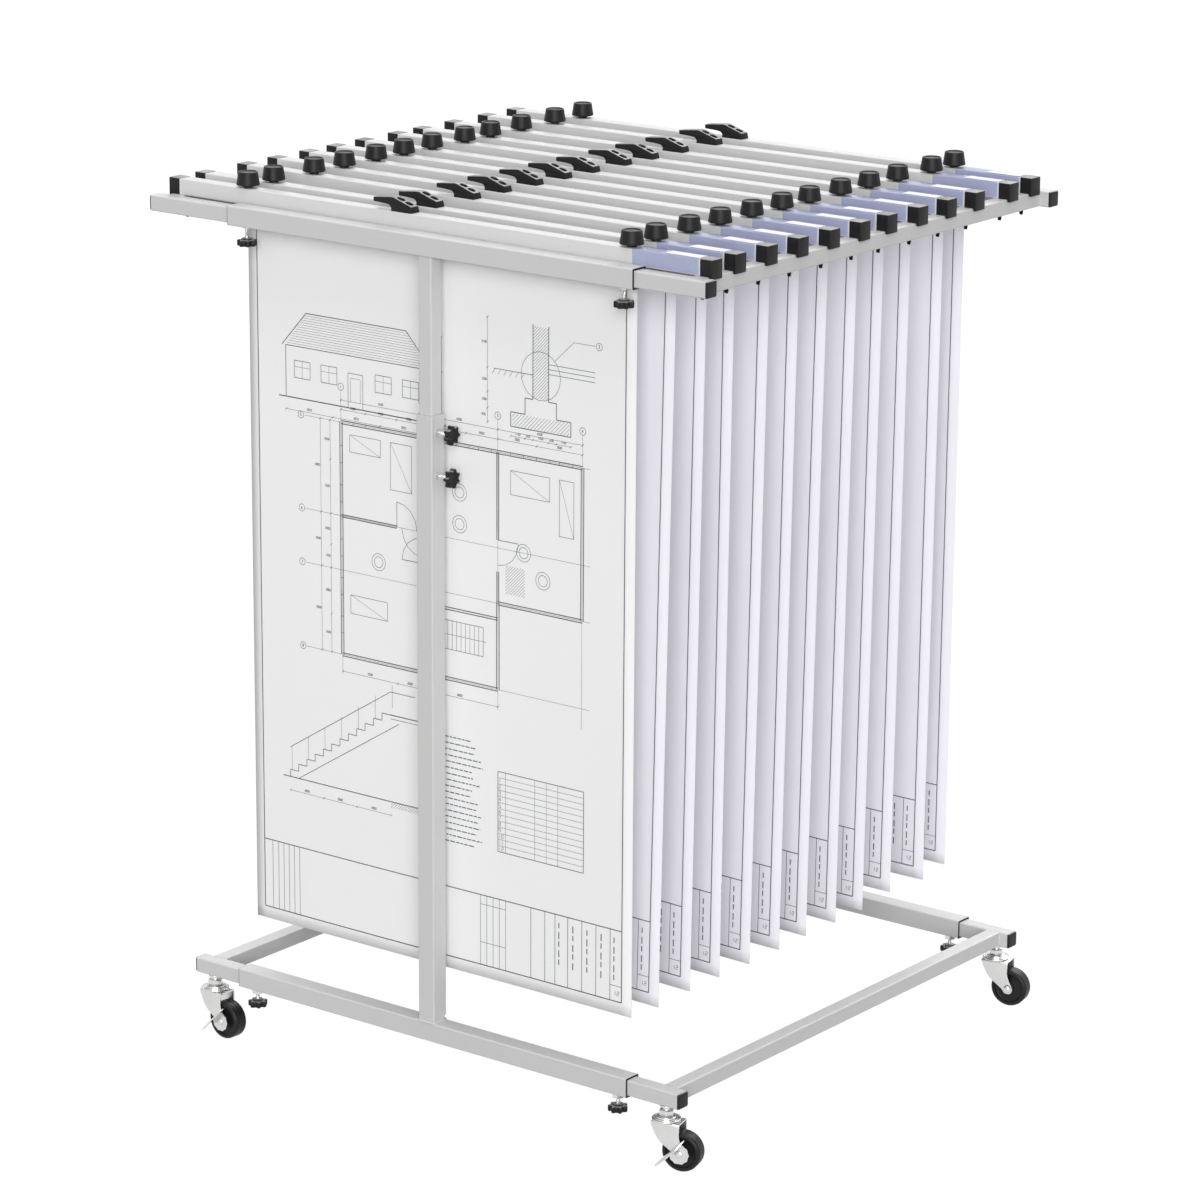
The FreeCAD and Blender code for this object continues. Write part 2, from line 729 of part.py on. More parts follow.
def caster_axle(half):
    """The riveted axle; its near end is long enough to carry a brake lever."""
    near = f"({half} + side_gap + lever_plate + rivet_gap)"
    across = Vector(0, -1, 0)
    pin_start = ("caster_trail", half, "wheel_radius")
    pin = rod("axle_pin", "axle_radius", f"{half} + {near}", pin_start, across)
    far_start = ("caster_trail", f"{half} + axle_head_height", "wheel_radius")
    far_head = rod("axle_far_head", "axle_head_radius", "axle_head_height", far_start, across)
    near_start = ("caster_trail", f"-{near}", "wheel_radius")
    near_head = rod("axle_near_head", "axle_head_radius", "axle_head_height", near_start, across)
    return fuse("caster_axle", pin, far_head, near_head)


def caster_wheel():
    """The wheel, with rounded tread edges, a recess in each side and a bore that runs on the axle."""
    centre = ("caster_trail", "wheel_width / 2", "wheel_radius")
    across = Vector(0, -1, 0)
    disc = rod("wheel_disc", "wheel_radius", "wheel_width", centre, across)
    tread = rounded("wheel_tread", disc, "wheel_edge", lambda edge: edge.Curve.TypeId == "Part::GeomCircle")
    recesses = []
    for label, face in (("far", "wheel_width / 2"), ("near", "-wheel_width / 2")):
        start = ("caster_trail", f"{face} + wheel_recess", "wheel_radius")
        recesses.append(rod(f"recess_{label}", "wheel_radius - wheel_rim", "2 * wheel_recess", start, across))
    hub_half = "(wheel_width / 2 + wheel_side_gap - side_gap)"
    hub_start = ("caster_trail", hub_half, "wheel_radius")
    hub = rod("wheel_hub", "hub_radius", f"2 * {hub_half}", hub_start, across)
    bore_start = ("caster_trail", f"2 * {hub_half}", "wheel_radius")
    bore = rod("wheel_bore", "axle_radius + running_gap", f"4 * {hub_half}", bore_start, across)
    return cut("caster_wheel", fuse("wheel_solid", cut("wheel_dished", tread, *recesses), hub), bore)


def brake_lever():
    """The brake lever: a disc round the axle and a sloping blade bent outwards to be stepped on."""
    inner = "(wheel_width / 2 + wheel_side_gap + fork_plate + side_gap)"
    across = Vector(0, -1, 0)
    disc_start = ("caster_trail", f"-{inner}", "wheel_radius")
    disc = rod("lever_disc", "lever_disc_radius", "lever_plate", disc_start, across)
    plan = [
        ("lever_blade_back", "0"),
        ("-lever_blade_front", "0"),
        ("-lever_blade_front", "-lever_nose_width"),
        ("-lever_shoulder_front", "-lever_blade_width"),
        ("lever_shoulder_back", "-lever_blade_width"),
        ("lever_blade_back", "-lever_tail_width"),
    ]
    bend = {
        "x": "caster_trail - lever_bend_place * sin(lever_slope * 1 deg)",
        "y": f"-{inner}",
        "z": "wheel_radius + lever_bend_place * cos(lever_slope * 1 deg)",
        "axis": across,
        "angle": "lever_slope",
    }
    blade = place(extruded("lever_blade", "XY_Plane", plan, "lever_plate"), **bend)
    low = ("-2 * lever_disc_radius", "-2 * lever_plate", "lever_plate")
    reach = "2 * lever_disc_radius"
    waste = block("lever_disc_waste", f"2 * {reach}", "3 * lever_plate", reach, low)
    bent = cut("lever_disc_bent", disc, place(group("lever_disc_beyond", waste), **bend))
    hole_start = ("caster_trail", f"lever_plate - {inner}", "wheel_radius")
    hole = rod("lever_hole", "axle_radius + running_gap", "3 * lever_plate", hole_start, across)
    return cut("brake_lever", fuse("lever_solid", bent, blade), hole)


def build_casters():
    """Four swivel casters; the two in front have a brake lever."""
    stem = caster_stem()
    fork, axle = caster_fork()
    wheel = caster_wheel()
    lever = brake_lever()
    nodes = {}
    for side_name, side in SIDES.items():
        stems = []
        for rail_name, rail in RAILS.items():
            spot = (stem_x(side), rail_y(rail), "0")
            label = f"{rail_name}_{side_name}"
            stems += [place(group(f"{piece.Name}_{label}", piece), *spot) for piece in stem]
            yaw = {"axis": Vector(0, 0, 1), "angle": f"yaw_{label}"}
            nodes[f"{label}_caster_fork"] = [place(group(f"{label}_fork_set", fork, axle), *spot, **yaw)]
            nodes[f"{label}_caster_wheel"] = [place(group(f"{label}_wheel_set", wheel), *spot, **yaw)]
            if rail == FRONT:
                nodes[f"{label}_brake_lever"] = [place(group(f"{label}_lever_set", lever), *spot, **yaw)]
        nodes[f"base_{side_name}_caster_stems"] = stems
    return nodes


# ---------------------------------------------------------------- hanging clamps
# Each clamp is built at its own origin: the middle of the beam's underside, with X along the beam.

HANGER_END = "(top_bar_reach + lip_gap + lip_thickness)"
CAP_START = f"({HANGER_END} - end_cap_length)"
JAW_END = "(top_bar_reach - arm_width - jaw_end_gap)"


def beam():
    """The beam: a channel with in-turned lips, open below for the jaws, drilled for the screws on top."""
    half = "beam_width / 2"
    inner = "(beam_width / 2 - beam_wall)"
    slot = "beam_slot / 2"
    section = [
        (f"-{slot}", "0"),
        (f"-{half}", "0"),
        (f"-{half}", "beam_height"),
        (half, "beam_height"),
        (half, "0"),
        (slot, "0"),
        (slot, "beam_wall"),
        (inner, "beam_wall"),
        (inner, "beam_height - beam_wall"),
        (f"-{inner}", "beam_height - beam_wall"),
        (f"-{inner}", "beam_wall"),
        (f"-{slot}", "beam_wall"),
    ]
    body = extruded("beam_section", "YZ_Plane", section, f"2 * {CAP_START}")
    place(body, x=f"-{CAP_START}")
    document.recompute()

    def outer_corner(edge):
        box = edge.BoundBox
        far_out = abs(abs(box.YMin) - number(half)) < NEAR
        level = min(abs(box.ZMin), abs(box.ZMin - number("beam_height")))
        return runs_along("x")(edge) and far_out and level < NEAR

    channel = rounded("beam_channel", body, "beam_corner", outer_corner)
    inside = "beam_height - 2 * beam_wall"
    holes = []
    for name, side in SIDES.items():
        start = (clamp_x(side), "0", inside)
        holes.append(rod(f"beam_knob_hole_{name}", "clamp_screw_radius + seat_gap", "3 * beam_wall", start))
    for order, spot in enumerate(handle_screw_places()):
        start = (spot, "0", inside)
        holes.append(rod(f"beam_handle_hole_{order}", "handle_screw_radius", "3 * beam_wall", start))
    return cut("beam", channel, *holes)


def clamp_x(side):
    """Where a clamp knob stands along the beam."""
    return f"{side} * ({HANGER_END} - clamp_knob_inset)"


def handle_screw_places():
    """Where the handle's two screws stand along the beam."""
    return ("handle_place - handle_screw_first", "handle_place - handle_screw_first - handle_screw_pitch")


def beam_cap(name, side):
    """A black cap on the beam's end, with a lip that drops outside the frame's cross bar, and a plug."""
    wide = "beam_width + 2 * end_cap_rim"
    side_view = [
        (CAP_START, "0"),
        (f"{HANGER_END} - lip_thickness", "0"),
        (f"{HANGER_END} - lip_thickness", "-lip_drop"),
        (HANGER_END, "-lip_drop"),
        (HANGER_END, "beam_height + end_cap_rim"),
        (CAP_START, "beam_height + end_cap_rim"),
    ]
    body = extruded(f"{name}_body", "XZ_Plane", side_view, wide, "Symmetric")
    plug_foot = "(2 * beam_wall + seat_gap + jaw_thickness)"
    plug_width = "(beam_width - 2 * beam_wall - 2 * press_gap)"
    plug = block(
        f"{name}_plug",
        "end_cap_length",
        plug_width,
        f"beam_height - beam_wall - press_gap - {plug_foot}",
        (f"{CAP_START} - end_cap_length", f"-{plug_width} / 2", plug_foot),
    )
    whole = fuse(f"{name}_solid", body, plug)
    return place(group(name, whole), axis=Vector(0, 0, 1), angle="0" if side == RIGHT else "180")


def jaw(name, side):
    """One clamping jaw: a flange that hangs on the channel's lip and a leg that grips the drawing."""
    inner = f"{side} * jaw_opening / 2"
    outer = f"{side} * (jaw_opening / 2 + jaw_thickness)"
    rim = f"{side} * (jaw_opening / 2 + jaw_thickness + jaw_flange)"
    seat = "(beam_wall + seat_gap)"
    section = [
        (inner, "-jaw_depth"),
        (outer, "-jaw_depth"),
        (outer, seat),
        (rim, seat),
        (rim, f"{seat} + jaw_thickness"),
        (inner, f"{seat} + jaw_thickness"),
    ]
    body = extruded(name, "YZ_Plane", section, f"2 * {JAW_END}")
    return place(body, x=f"-{JAW_END}")


def clamp_block(name, side):
    """The threaded block that a clamp knob's screw draws against the jaws' flanges."""
    foot = "(beam_wall + 2 * seat_gap + jaw_thickness)"
    wide = "(beam_width - 2 * beam_wall - 2 * seat_gap)"
    low = (f"{clamp_x(side)} - clamp_block_length / 2", f"-{wide} / 2", foot)
    solid = block(f"{name}_solid", "clamp_block_length", wide, "clamp_block_height", low)
    below = (clamp_x(side), "0", f"{foot} - clamp_block_height")
    bore = rod(f"{name}_bore", "clamp_screw_radius + thread_gap", "3 * clamp_block_height", below)
    return cut(name, solid, bore)


def clamp_knob(name, side):
    """A clamp knob: a tapered head with a dished top on a short neck, and its screw."""
    foot = "(beam_height + end_cap_rim / 2)"
    neck_top = f"({foot} + clamp_knob_stem_height)"
    x = clamp_x(side)
    neck = rod(f"{name}_neck", "clamp_knob_stem", "clamp_knob_stem_height", (x, "0", foot))
    start = (x, "0", neck_top)
    head = cone(f"{name}_head", "clamp_knob_bottom", "clamp_knob_top", "clamp_knob_height", start)
    dish_foot = f"{neck_top} + clamp_knob_height - clamp_knob_dish"
    dish_rim = "clamp_knob_top - clamp_knob_rim"
    dish = cone(f"{name}_dish", "clamp_knob_top / 2", dish_rim, "clamp_knob_dish", (x, "0", dish_foot))
    screw_foot = "(beam_wall + 3 * seat_gap + jaw_thickness)"
    screw_top = f"({neck_top} + clamp_knob_height / 2)"
    seat = rod(f"{name}_seat", "clamp_screw_radius", f"{screw_top} - beam_height", (x, "0", "beam_height"))
    grip = cut(name, fuse(f"{name}_grip", neck, head), dish, seat)
    screw = rod(f"{name}_screw", "clamp_screw_radius", f"{screw_top} - {screw_foot}", (x, "0", screw_foot))
    return [grip, screw]


def handle():
    """The lifting handle: a foot screwed to the beam and an arm that leaves a finger gap under it."""
    foot = "beam_height"
    toe = "handle_place"
    heel = "(handle_place - handle_base)"
    tip = "(handle_place - handle_base - handle_arm)"
    tip_top = "beam_height + handle_height - handle_tip_drop"
    side_view = [
        (toe, foot),
        (toe, f"{foot} + handle_toe"),
        (heel, f"{foot} + handle_height"),
        (tip, tip_top),
        (tip, f"{tip_top} - handle_tip_thickness"),
        (f"{heel} - handle_throat", f"{foot} + handle_height - handle_arm_thickness"),
        (heel, f"{foot} + handle_throat"),
        (heel, foot),
    ]
    body = extruded("handle_body", "XZ_Plane", side_view, "handle_width", "Symmetric")
    document.recompute()

    def chosen(edge):
        return runs_along("y")(edge) and edge.BoundBox.ZMin > number(f"{foot} + handle_round")

    shaped = rounded("handle_rounded", body, "handle_round", chosen)
    tools = []
    for order, spot in enumerate(handle_screw_places()):
        seat_foot = (spot, "0", "beam_height + handle_screw_seat")
        hole_foot = (spot, "0", "beam_height - handle_screw_seat")
        tools.append(rod(f"handle_seat_{order}", "handle_screw_head + seat_gap", "handle_height", seat_foot))
        tools.append(rod(f"handle_hole_{order}", "handle_screw_radius", "handle_height", hole_foot))
    return cut("handle", shaped, *tools)


def handle_screw(order, spot):
    """A countersunk screw that holds the handle down."""
    name = f"handle_screw_{order}"
    head_foot = (spot, "0", "beam_height + handle_screw_seat")
    head = rod(f"{name}_head", "handle_screw_head", "handle_screw_head_height", head_foot)
    shank_foot = (spot, "0", "beam_height - handle_screw_depth")
    shank = rod(f"{name}_shank", "handle_screw_radius", "handle_screw_depth + handle_screw_seat", shank_foot)
    return fuse(name, head, shank)


def label_sleeve():
    """The clear sleeve snapped over the beam between its right knob and cap: a top and two sides."""
    outer = "(beam_width / 2 + label_gap + label_wall)"
    inner = "(beam_width / 2 + label_gap)"
    foot = "beam_wall"
    ceiling = "(beam_height + label_gap)"
    section = [
        (f"-{outer}", foot),
        (f"-{outer}", f"{ceiling} + label_wall"),
        (outer, f"{ceiling} + label_wall"),
        (outer, foot),
        (inner, foot),
        (inner, ceiling),
        (f"-{inner}", ceiling),
        (f"-{inner}", foot),
    ]
    start = f"{clamp_x(RIGHT)} + clamp_knob_stem + label_knob_gap"
    body = extruded("label_sleeve", "YZ_Plane", section, f"{CAP_START} - label_end_gap - ({start})")
    return place(body, x=start)


def label_strip():
    """The blank paper strip in the label sleeve's top pocket."""
    low = (
        f"{CAP_START} - label_end_gap - strip_length",
        "-strip_width / 2",
        "beam_height + label_gap + label_wall",
    )
    return block("label_strip", "strip_length", "strip_width", "strip_thickness", low)


def drawing(index):
    """One drawing, gripped along its top edge between the jaws and turned about its lower right corner."""
    lift = PAPER_LIFT[index % len(PAPER_LIFT)]
    aside = PAPER_ASIDE[index % len(PAPER_ASIDE)]
    tilt = f"({PAPER_TILT[index % len(PAPER_TILT)]})"
    sheet = block(
        f"drawing_{index + 1:02d}",
        "paper_width",
        "paper_thickness",
        "paper_length",
        ("-paper_width / 2", "-paper_thickness / 2", "-paper_length"),
    )
    hung = group(f"drawing_{index + 1:02d}_hung", sheet)
    grip_x = f"paper_shift + {aside} - paper_length * sin({tilt} * 1 deg)"
    grip_z = f"paper_grip - jaw_depth + {lift} - paper_width / 2 * sin({tilt} * 1 deg)"
    return place(hung, grip_x, "0", grip_z, Vector(0, -1, 0), tilt)


def rail_place(index, stray):
    """Where a clamp's end lies across the rack, from an even spacing and its own stray."""
    half_hanger = "(beam_width / 2 + label_gap + label_wall)"
    margin = f"(sleeve_width / 2 + hanger_side_gap + {half_hanger})"
    free = f"(rail_spacing - 2 * {margin} - hanger_play)"
    return f"({margin} - rail_spacing / 2 + {free} * {index} / (hanger_count - 1) + {stray})"


def build_hangers():
    """The hanging clamps: the first one piece by piece, the others each as a group of its solids."""
    knobs = {name: clamp_knob(f"clamp_knob_{name}", side) for name, side in SIDES.items()}
    pieces = {
        "beam": [beam()],
        "jaws": [jaw("front_jaw", FRONT), jaw("back_jaw", BACK)],
        "end_caps": [beam_cap(f"beam_cap_{name}", side) for name, side in SIDES.items()],
        "left_knob": knobs["left"],
        "right_knob": knobs["right"],
        "handle": [handle()],
        "fasteners": [clamp_block(f"clamp_block_{name}", side) for name, side in SIDES.items()]
        + [handle_screw(order, spot) for order, spot in enumerate(handle_screw_places())],
        "label_sleeve": [label_sleeve()],
        "papers": [label_strip()],
    }
    nodes = {}
    for index in range(int(number("hanger_count"))):
        label = f"hanger_{index + 1:02d}"
        right = rail_place(index, STRAY_RIGHT[index % len(STRAY_RIGHT)])
        left = rail_place(index, STRAY_LEFT[index % len(STRAY_LEFT)])
        spot = {"y": f"({right} + {left}) / 2", "z": "top_rail_height + arm_width / 2"}
        yaw = {"axis": Vector(0, 0, 1), "angle": f"atan2({right} - {left}; 2 * {HANGER_END})"}
        sheet = drawing(index)
        if index == 0:
            own = {key: list(members) for key, members in pieces.items()}
            own["papers"].append(sheet)
            for key, members in own.items():
                nodes[f"{label}_{key}"] = [place(group(f"{label}_{key}_set", *members), **spot, **yaw)]
        else:
            members = [piece for members in pieces.values() for piece in members]
            nodes[label] = [place(group(f"{label}_set", *members, sheet), **spot, **yaw)]
    return nodes


# ---------------------------------------------------------------- the whole rack


def name_nodes(nodes):
    """Give every sub-part one document object, labelled with its node's name."""
    parts = []
    for label, members in nodes.items():
        piece = members[0] if len(members) == 1 else group(f"{label}_parts", *members)
        piece.Label = label
        parts.append(piece)
    return parts


def check_model(parts):
    """Stop if any object failed, or if a sub-part has no valid solid."""
    document.recompute()
    for item in document.Objects:
        if "Invalid" in item.State or "Error" in item.State:
            raise ValueError(f"{item.Label} could not be built")
    for part in parts:
        if part.Shape.isNull() or not part.Shape.isValid() or not part.Shape.Solids:
            raise ValueError(f"{part.Label} has no valid solid")


def write_parts(parts):
    """Write each sub-part to its own STEP file."""
    os.makedirs("parts", exist_ok=True)
    for part in parts:
        part.Shape.exportStep(f"parts/{part.Label}.step")


def main():
    fill_sheet()
    nodes = build_fixed_frame()
    for level in HEIGHTS:
        for side_name in SIDES:
            nodes.update(end_frame(level, side_name))
    nodes.update(build_star_knobs())
    nodes.update(build_casters())
    nodes.update(build_hangers())
    parts = name_nodes(nodes)
    check_model(parts)
    write_parts(parts)
    print(f"{len(parts)} sub-parts written")


main()
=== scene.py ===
"""Looks of the plan hanging rack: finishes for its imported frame, and finished pieces for its
clamps, knobs, casters and drawings.

Sizes are millimetres until a mesh is made; meshes and placements are in metres. X runs along the
clamps, Y from the front rail to the back rail and Z up from the floor, under the middle of the
clamps.
"""

from __future__ import annotations

import logging
import math
from dataclasses import dataclass, replace
from itertools import product

import bmesh
import bpy
import numpy as np
from mathutils import Matrix, Vector


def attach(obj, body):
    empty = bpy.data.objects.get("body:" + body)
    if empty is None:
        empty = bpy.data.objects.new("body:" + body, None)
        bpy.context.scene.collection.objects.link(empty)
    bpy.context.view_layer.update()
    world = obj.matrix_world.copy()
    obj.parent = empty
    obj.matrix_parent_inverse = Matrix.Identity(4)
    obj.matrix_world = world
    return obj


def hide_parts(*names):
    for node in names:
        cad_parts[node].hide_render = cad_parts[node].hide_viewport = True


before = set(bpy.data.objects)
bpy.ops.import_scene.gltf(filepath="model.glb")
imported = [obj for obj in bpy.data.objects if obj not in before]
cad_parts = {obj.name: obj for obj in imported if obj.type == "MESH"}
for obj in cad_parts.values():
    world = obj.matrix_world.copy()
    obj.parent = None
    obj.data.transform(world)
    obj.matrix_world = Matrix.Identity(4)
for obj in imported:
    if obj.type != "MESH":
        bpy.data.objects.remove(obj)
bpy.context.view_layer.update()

logger = logging.getLogger("plan_hanging_rack")

MM = 0.001
MERGE = 1e-7
FLAT_ANGLE = 1e-3
SOFT_ANGLE = math.radians(30.0)
SHARP_ANGLE = math.radians(38.0)
X, Y, Z = range(3)

Colour = tuple[float, float, float]
Mesh = bpy.types.Mesh
Outline = np.ndarray
Node = bpy.types.Node
Socket = bpy.types.NodeSocket
Tree = bpy.types.NodeTree


# ---------------------------------------------------------------- surfaces


@dataclass
class Shell:
    """A surface as arrays: points in millimetres and faces as lists of point numbers."""

    points: np.ndarray
    faces: list[list[int]]

    def __add__(self, other: Shell) -> Shell:
        """Both surfaces side by side in one."""
        first = len(self.points)
        later = [[point + first for point in face] for face in other.faces]
        return Shell(np.concatenate([self.points, other.points]), self.faces + later)

    def moved(self, x: float = 0.0, y: float = 0.0, z: float = 0.0) -> Shell:
        """The surface shifted by x, y and z."""
        return Shell(self.points + np.array([x, y, z]), self.faces)

    def turned(self, axis: str, degrees: float) -> Shell:
        """The surface turned about an axis through its own origin."""
        turn = np.array(Matrix.Rotation(math.radians(degrees), 3, axis))
        return Shell(self.points @ turn.T, self.faces)


def grid(points: np.ndarray, around: bool = False, ends: bool = False) -> Shell:
    """A net of four-sided faces over points given by row and column.

    Args:
        points: Array of rows x columns x 3.
        around: Whether the last column meets the first.
        ends: Whether the first and last rows are closed by a face each.
    """
    rows, columns = points.shape[:2]
    row, column = np.meshgrid(np.arange(rows - 1), np.arange(columns - (not around)), indexing="ij")
    after = (column + 1) % columns
    low, high = row * columns, (row + 1) * columns
    corners = np.stack([low + column, low + after, high + after, high + column], -1)
    faces = corners.reshape(-1, 4).tolist()
    if ends:
        faces.append(list(range(columns)))
        faces.append(list(range((rows - 1) * columns, rows * columns)))
    return Shell(points.reshape(-1, 3).astype(float), faces)


def tube(points: np.ndarray) -> Shell:
    """A closed body over a grid whose rows are rings."""
    return grid(points, around=True, ends=True)


def turns(sides: int) -> np.ndarray:
    """Even angles round a full turn, in radians."""
    return np.arange(sides) * (2 * np.pi / sides)


def polar(radius: np.ndarray, turn: np.ndarray, height: np.ndarray) -> np.ndarray:
    """Points (r cos t, r sin t, z), with the three arrays spread over each other."""
    radius, turn, height = np.broadcast_arrays(radius, turn, height)
    return np.stack([radius * np.cos(turn), radius * np.sin(turn), height], -1)


def lathe(profile: list[tuple[float, float]], sides: int = 40) -> Shell:
    """A round body about Z: each (radius, height) of the profile is carried through a full turn."""
    radius, height = np.array(profile, float).T
    return tube(polar(radius[:, None], turns(sides), height[:, None]))


def bar(outline: Outline, axis: int, start: float, end: float) -> Shell:
    """A closed bar: an outline, in the other two directions, carried straight along an axis."""
    return tube(np.array([np.insert(outline, axis, at, axis=1) for at in (start, end)]))


def rectangle(width: float, height: float, radius: float = 0.0, steps: int = 5) -> Outline:
    """Outline of a rectangle about its centre; each corner is a quarter circle of the radius."""
    turn = np.linspace(0.0, np.pi / 2, steps + 1) if radius else np.zeros(1)
    reach = np.array([width / 2 - radius, height / 2 - radius])
    arcs = []
    for quarter, sign in enumerate(((1, 1), (-1, 1), (-1, -1), (1, -1))):
        angle = turn + quarter * np.pi / 2
        arcs.append(np.stack([np.cos(angle), np.sin(angle)], 1) * radius + reach * np.array(sign))
    return np.concatenate(arcs)


def rounded(corners: list[tuple[float, float]], reach: list[float], steps: int = 4) -> Outline:
    """A closed outline whose corners are eased.

    A corner c becomes the points (1-t)^2 a + 2t(1-t) c + t^2 b, where a and b lie before and
    after it on the outline, as far away as its reach.
    """
    spots = np.array(corners, float)
    share = np.linspace(0.0, 1.0, steps + 1)[:, None]
    out = []
    for spot, before, after, size in zip(spots, np.roll(spots, 1, 0), np.roll(spots, -1, 0), reach):
        if size <= 0:
            out.append(spot[None])
            continue
        back, ahead = before - spot, after - spot
        start = spot + back / np.linalg.norm(back) * size
        stop = spot + ahead / np.linalg.norm(ahead) * size
        out.append((1 - share) ** 2 * start + 2 * share * (1 - share) * spot + share**2 * stop)
    return np.concatenate(out)


def screw_thread(radius: float, pitch: float, foot: float, head: float, sides: int = 20) -> Shell:
    """A threaded rod about Z from foot to head.

    Its radius at turn t and height z is the crest radius less a third of the pitch times twice the
    distance of (z / pitch - t / full turn) from its nearest whole number.
    """
    rows = max(int((head - foot) / pitch * 4), 4)
    height, turn = np.linspace(foot, head, rows)[:, None], turns(sides)[None]
    phase = height / pitch - turn / (2 * np.pi)
    return tube(polar(radius - np.abs(phase - np.round(phase)) * 2 * pitch / 3, turn, height))


def raw_mesh(name: str, shell: Shell, closed: bool = True) -> Mesh:
    """A mesh from a surface, with doubles merged and, where it is closed, faces pointing out."""
    mesh = bpy.data.meshes.new(name)
    mesh.from_pydata((shell.points * MM).tolist(), [], shell.faces)
    work = bmesh.new()
    work.from_mesh(mesh)
    bmesh.ops.remove_doubles(work, verts=work.verts, dist=MERGE)
    if closed:
        bmesh.ops.recalc_face_normals(work, faces=work.faces)
    work.to_mesh(mesh)
    work.free()
    return mesh


def carved(mesh: Mesh, tool: Shell, keep: str = "DIFFERENCE") -> Mesh:
    """A new mesh: the given one less a closed tool's space, or where they overlap."""
    base = bpy.data.objects.new("carving_base", mesh)
    cutter = bpy.data.objects.new("carving_tool", raw_mesh("carving_tool", tool))
    for item in (base, cutter):
        bpy.context.scene.collection.objects.link(item)
    modifier = base.modifiers.new("carving", "BOOLEAN")
    modifier.operation, modifier.solver, modifier.object = keep, "EXACT", cutter
    bpy.context.view_layer.update()
    shown = base.evaluated_get(bpy.context.evaluated_depsgraph_get())
    result = bpy.data.meshes.new_from_object(shown)
    result.name = mesh.name
    for item in (base, cutter):
        bpy.data.objects.remove(item)
    return result


def finished(mesh: Mesh, soften: float = 0.0, steps: int = 2) -> Mesh:
    """The mesh with smooth shading and its hard edges rounded.

    Args:
        mesh: The mesh.
        soften: Reach of the rounding from each hard edge.
        steps: Faces across the rounding.
    """
    if soften:
        work = bmesh.new()
        work.from_mesh(mesh)
        bmesh.ops.dissolve_limit(work, angle_limit=FLAT_ANGLE, verts=work.verts, edges=work.edges)
        hard = [edge for edge in work.edges if edge.calc_face_angle(0.0) > SOFT_ANGLE]
        shape = {"segments": steps, "profile": 0.5, "affect": "EDGES", "clamp_overlap": True}
        bmesh.ops.bevel(work, geom=hard, offset=soften * MM, **shape)
        work.to_mesh(mesh)
        work.free()
    mesh.polygons.foreach_set("use_smooth", np.ones(len(mesh.polygons), bool))
    mesh.set_sharp_from_angle(angle=SHARP_ANGLE)
    return mesh


def made(name: str, shell: Shell, soften: float = 0.0, steps: int = 2, closed: bool = True) -> Mesh:
    """A finished mesh from a surface."""
    return finished(raw_mesh(name, shell, closed), soften, steps)


# ---------------------------------------------------------------- shader nodes

# The Mix node's sockets for colours share their names with those for numbers and vectors.
MIX_A, MIX_B, MIX_RESULT = 6, 7, 2
EDGE_RADIUS = 0.0012
# Faces that look up turn light grey: settled dust on the paint, and on the black plastics a painted
# sheen.
DUST_AND_SHEEN_LEVEL, DUST_AND_SHEEN_RAMP = 0.6, 2.5
DUST_AND_SHEEN_COLOUR = (0.62, 0.61, 0.59)
COAT_ROUGHNESS = 0.12
BUMP_STRENGTH = 0.6


class Net:
    """A shader's nodes, built and linked by what goes into them."""

    def __init__(self, tree: Tree) -> None:
        """Takes the tree that the nodes go into."""
        self.nodes, self.links = tree.nodes, tree.links

    def wire(self, node: Node, inputs: dict) -> Node:
        """Gives inputs, by name or number, a plain value or the socket that feeds them."""
        for key, value in inputs.items():
            if isinstance(value, Socket):
                self.links.new(value, node.inputs[key])
            else:
                node.inputs[key].default_value = value
        return node

    def add(self, kind: str, inputs: dict | None = None, **settings: object) -> Node:
        """A new shader node with its settings and inputs."""
        node = self.nodes.new(f"ShaderNode{kind}")
        for key, value in settings.items():
            setattr(node, key, value)
        return self.wire(node, inputs or {})

    def noise(self, spot: Socket, scale: Socket, **inputs: float) -> Socket:
        """A noise over the given coordinates."""
        return self.add("TexNoise", {"Vector": spot, "Scale": scale, **inputs}).outputs["Fac"]

    def sums(self, operation: str, *values: object) -> Socket:
        """A Math node's result from sockets and plain numbers, held between 0 and 1."""
        node = self.add("Math", dict(enumerate(values)), operation=operation, use_clamp=True)
        return node.outputs[0]

    def mixed(self, share: Socket, first: object, second: Colour) -> Socket:
        """A colour between two, of which the first may be a socket."""
        plain = [(*value, 1.0) if isinstance(value, tuple) else value for value in (first, second)]
        inputs = {"Factor": share, MIX_A: plain[0], MIX_B: plain[1]}
        return self.add("Mix", inputs, data_type="RGBA").outputs[MIX_RESULT]


def new_effect(name: str, values: dict[str, float], outputs: tuple[str, ...]) -> tuple:
    """A new node group that reads a Vector and the given values.

    Returns:
        The group, its net, the sockets of its input node and its output node.
    """
    group = bpy.data.node_groups.new(name, "ShaderNodeTree")
    group.interface.new_socket("Vector", in_out="INPUT", socket_type="NodeSocketVector")
    for label, value in values.items():
        socket = group.interface.new_socket(label, in_out="INPUT", socket_type="NodeSocketFloat")
        socket.default_value = value
    for label in outputs:
        group.interface.new_socket(label, in_out="OUTPUT", socket_type="NodeSocketFloat")
    given, result = group.nodes.new("NodeGroupInput"), group.nodes.new("NodeGroupOutput")
    return group, Net(group), given.outputs, result


def grain_effect() -> Tree:
    """Fine grain and slow tone variation from two noises of the given scales."""
    values = {"Fine Scale": 600.0, "Broad Scale": 9.0}
    group, net, given, result = new_effect("surface_grain", values, ("Fine", "Broad"))
    for label, detail in (("Fine", 3.0), ("Broad", 4.0)):
        scale = given[f"{label} Scale"]
        noise = net.noise(given["Vector"], scale, Detail=detail, Roughness=0.55)
        net.wire(result, {label: noise})
    return group


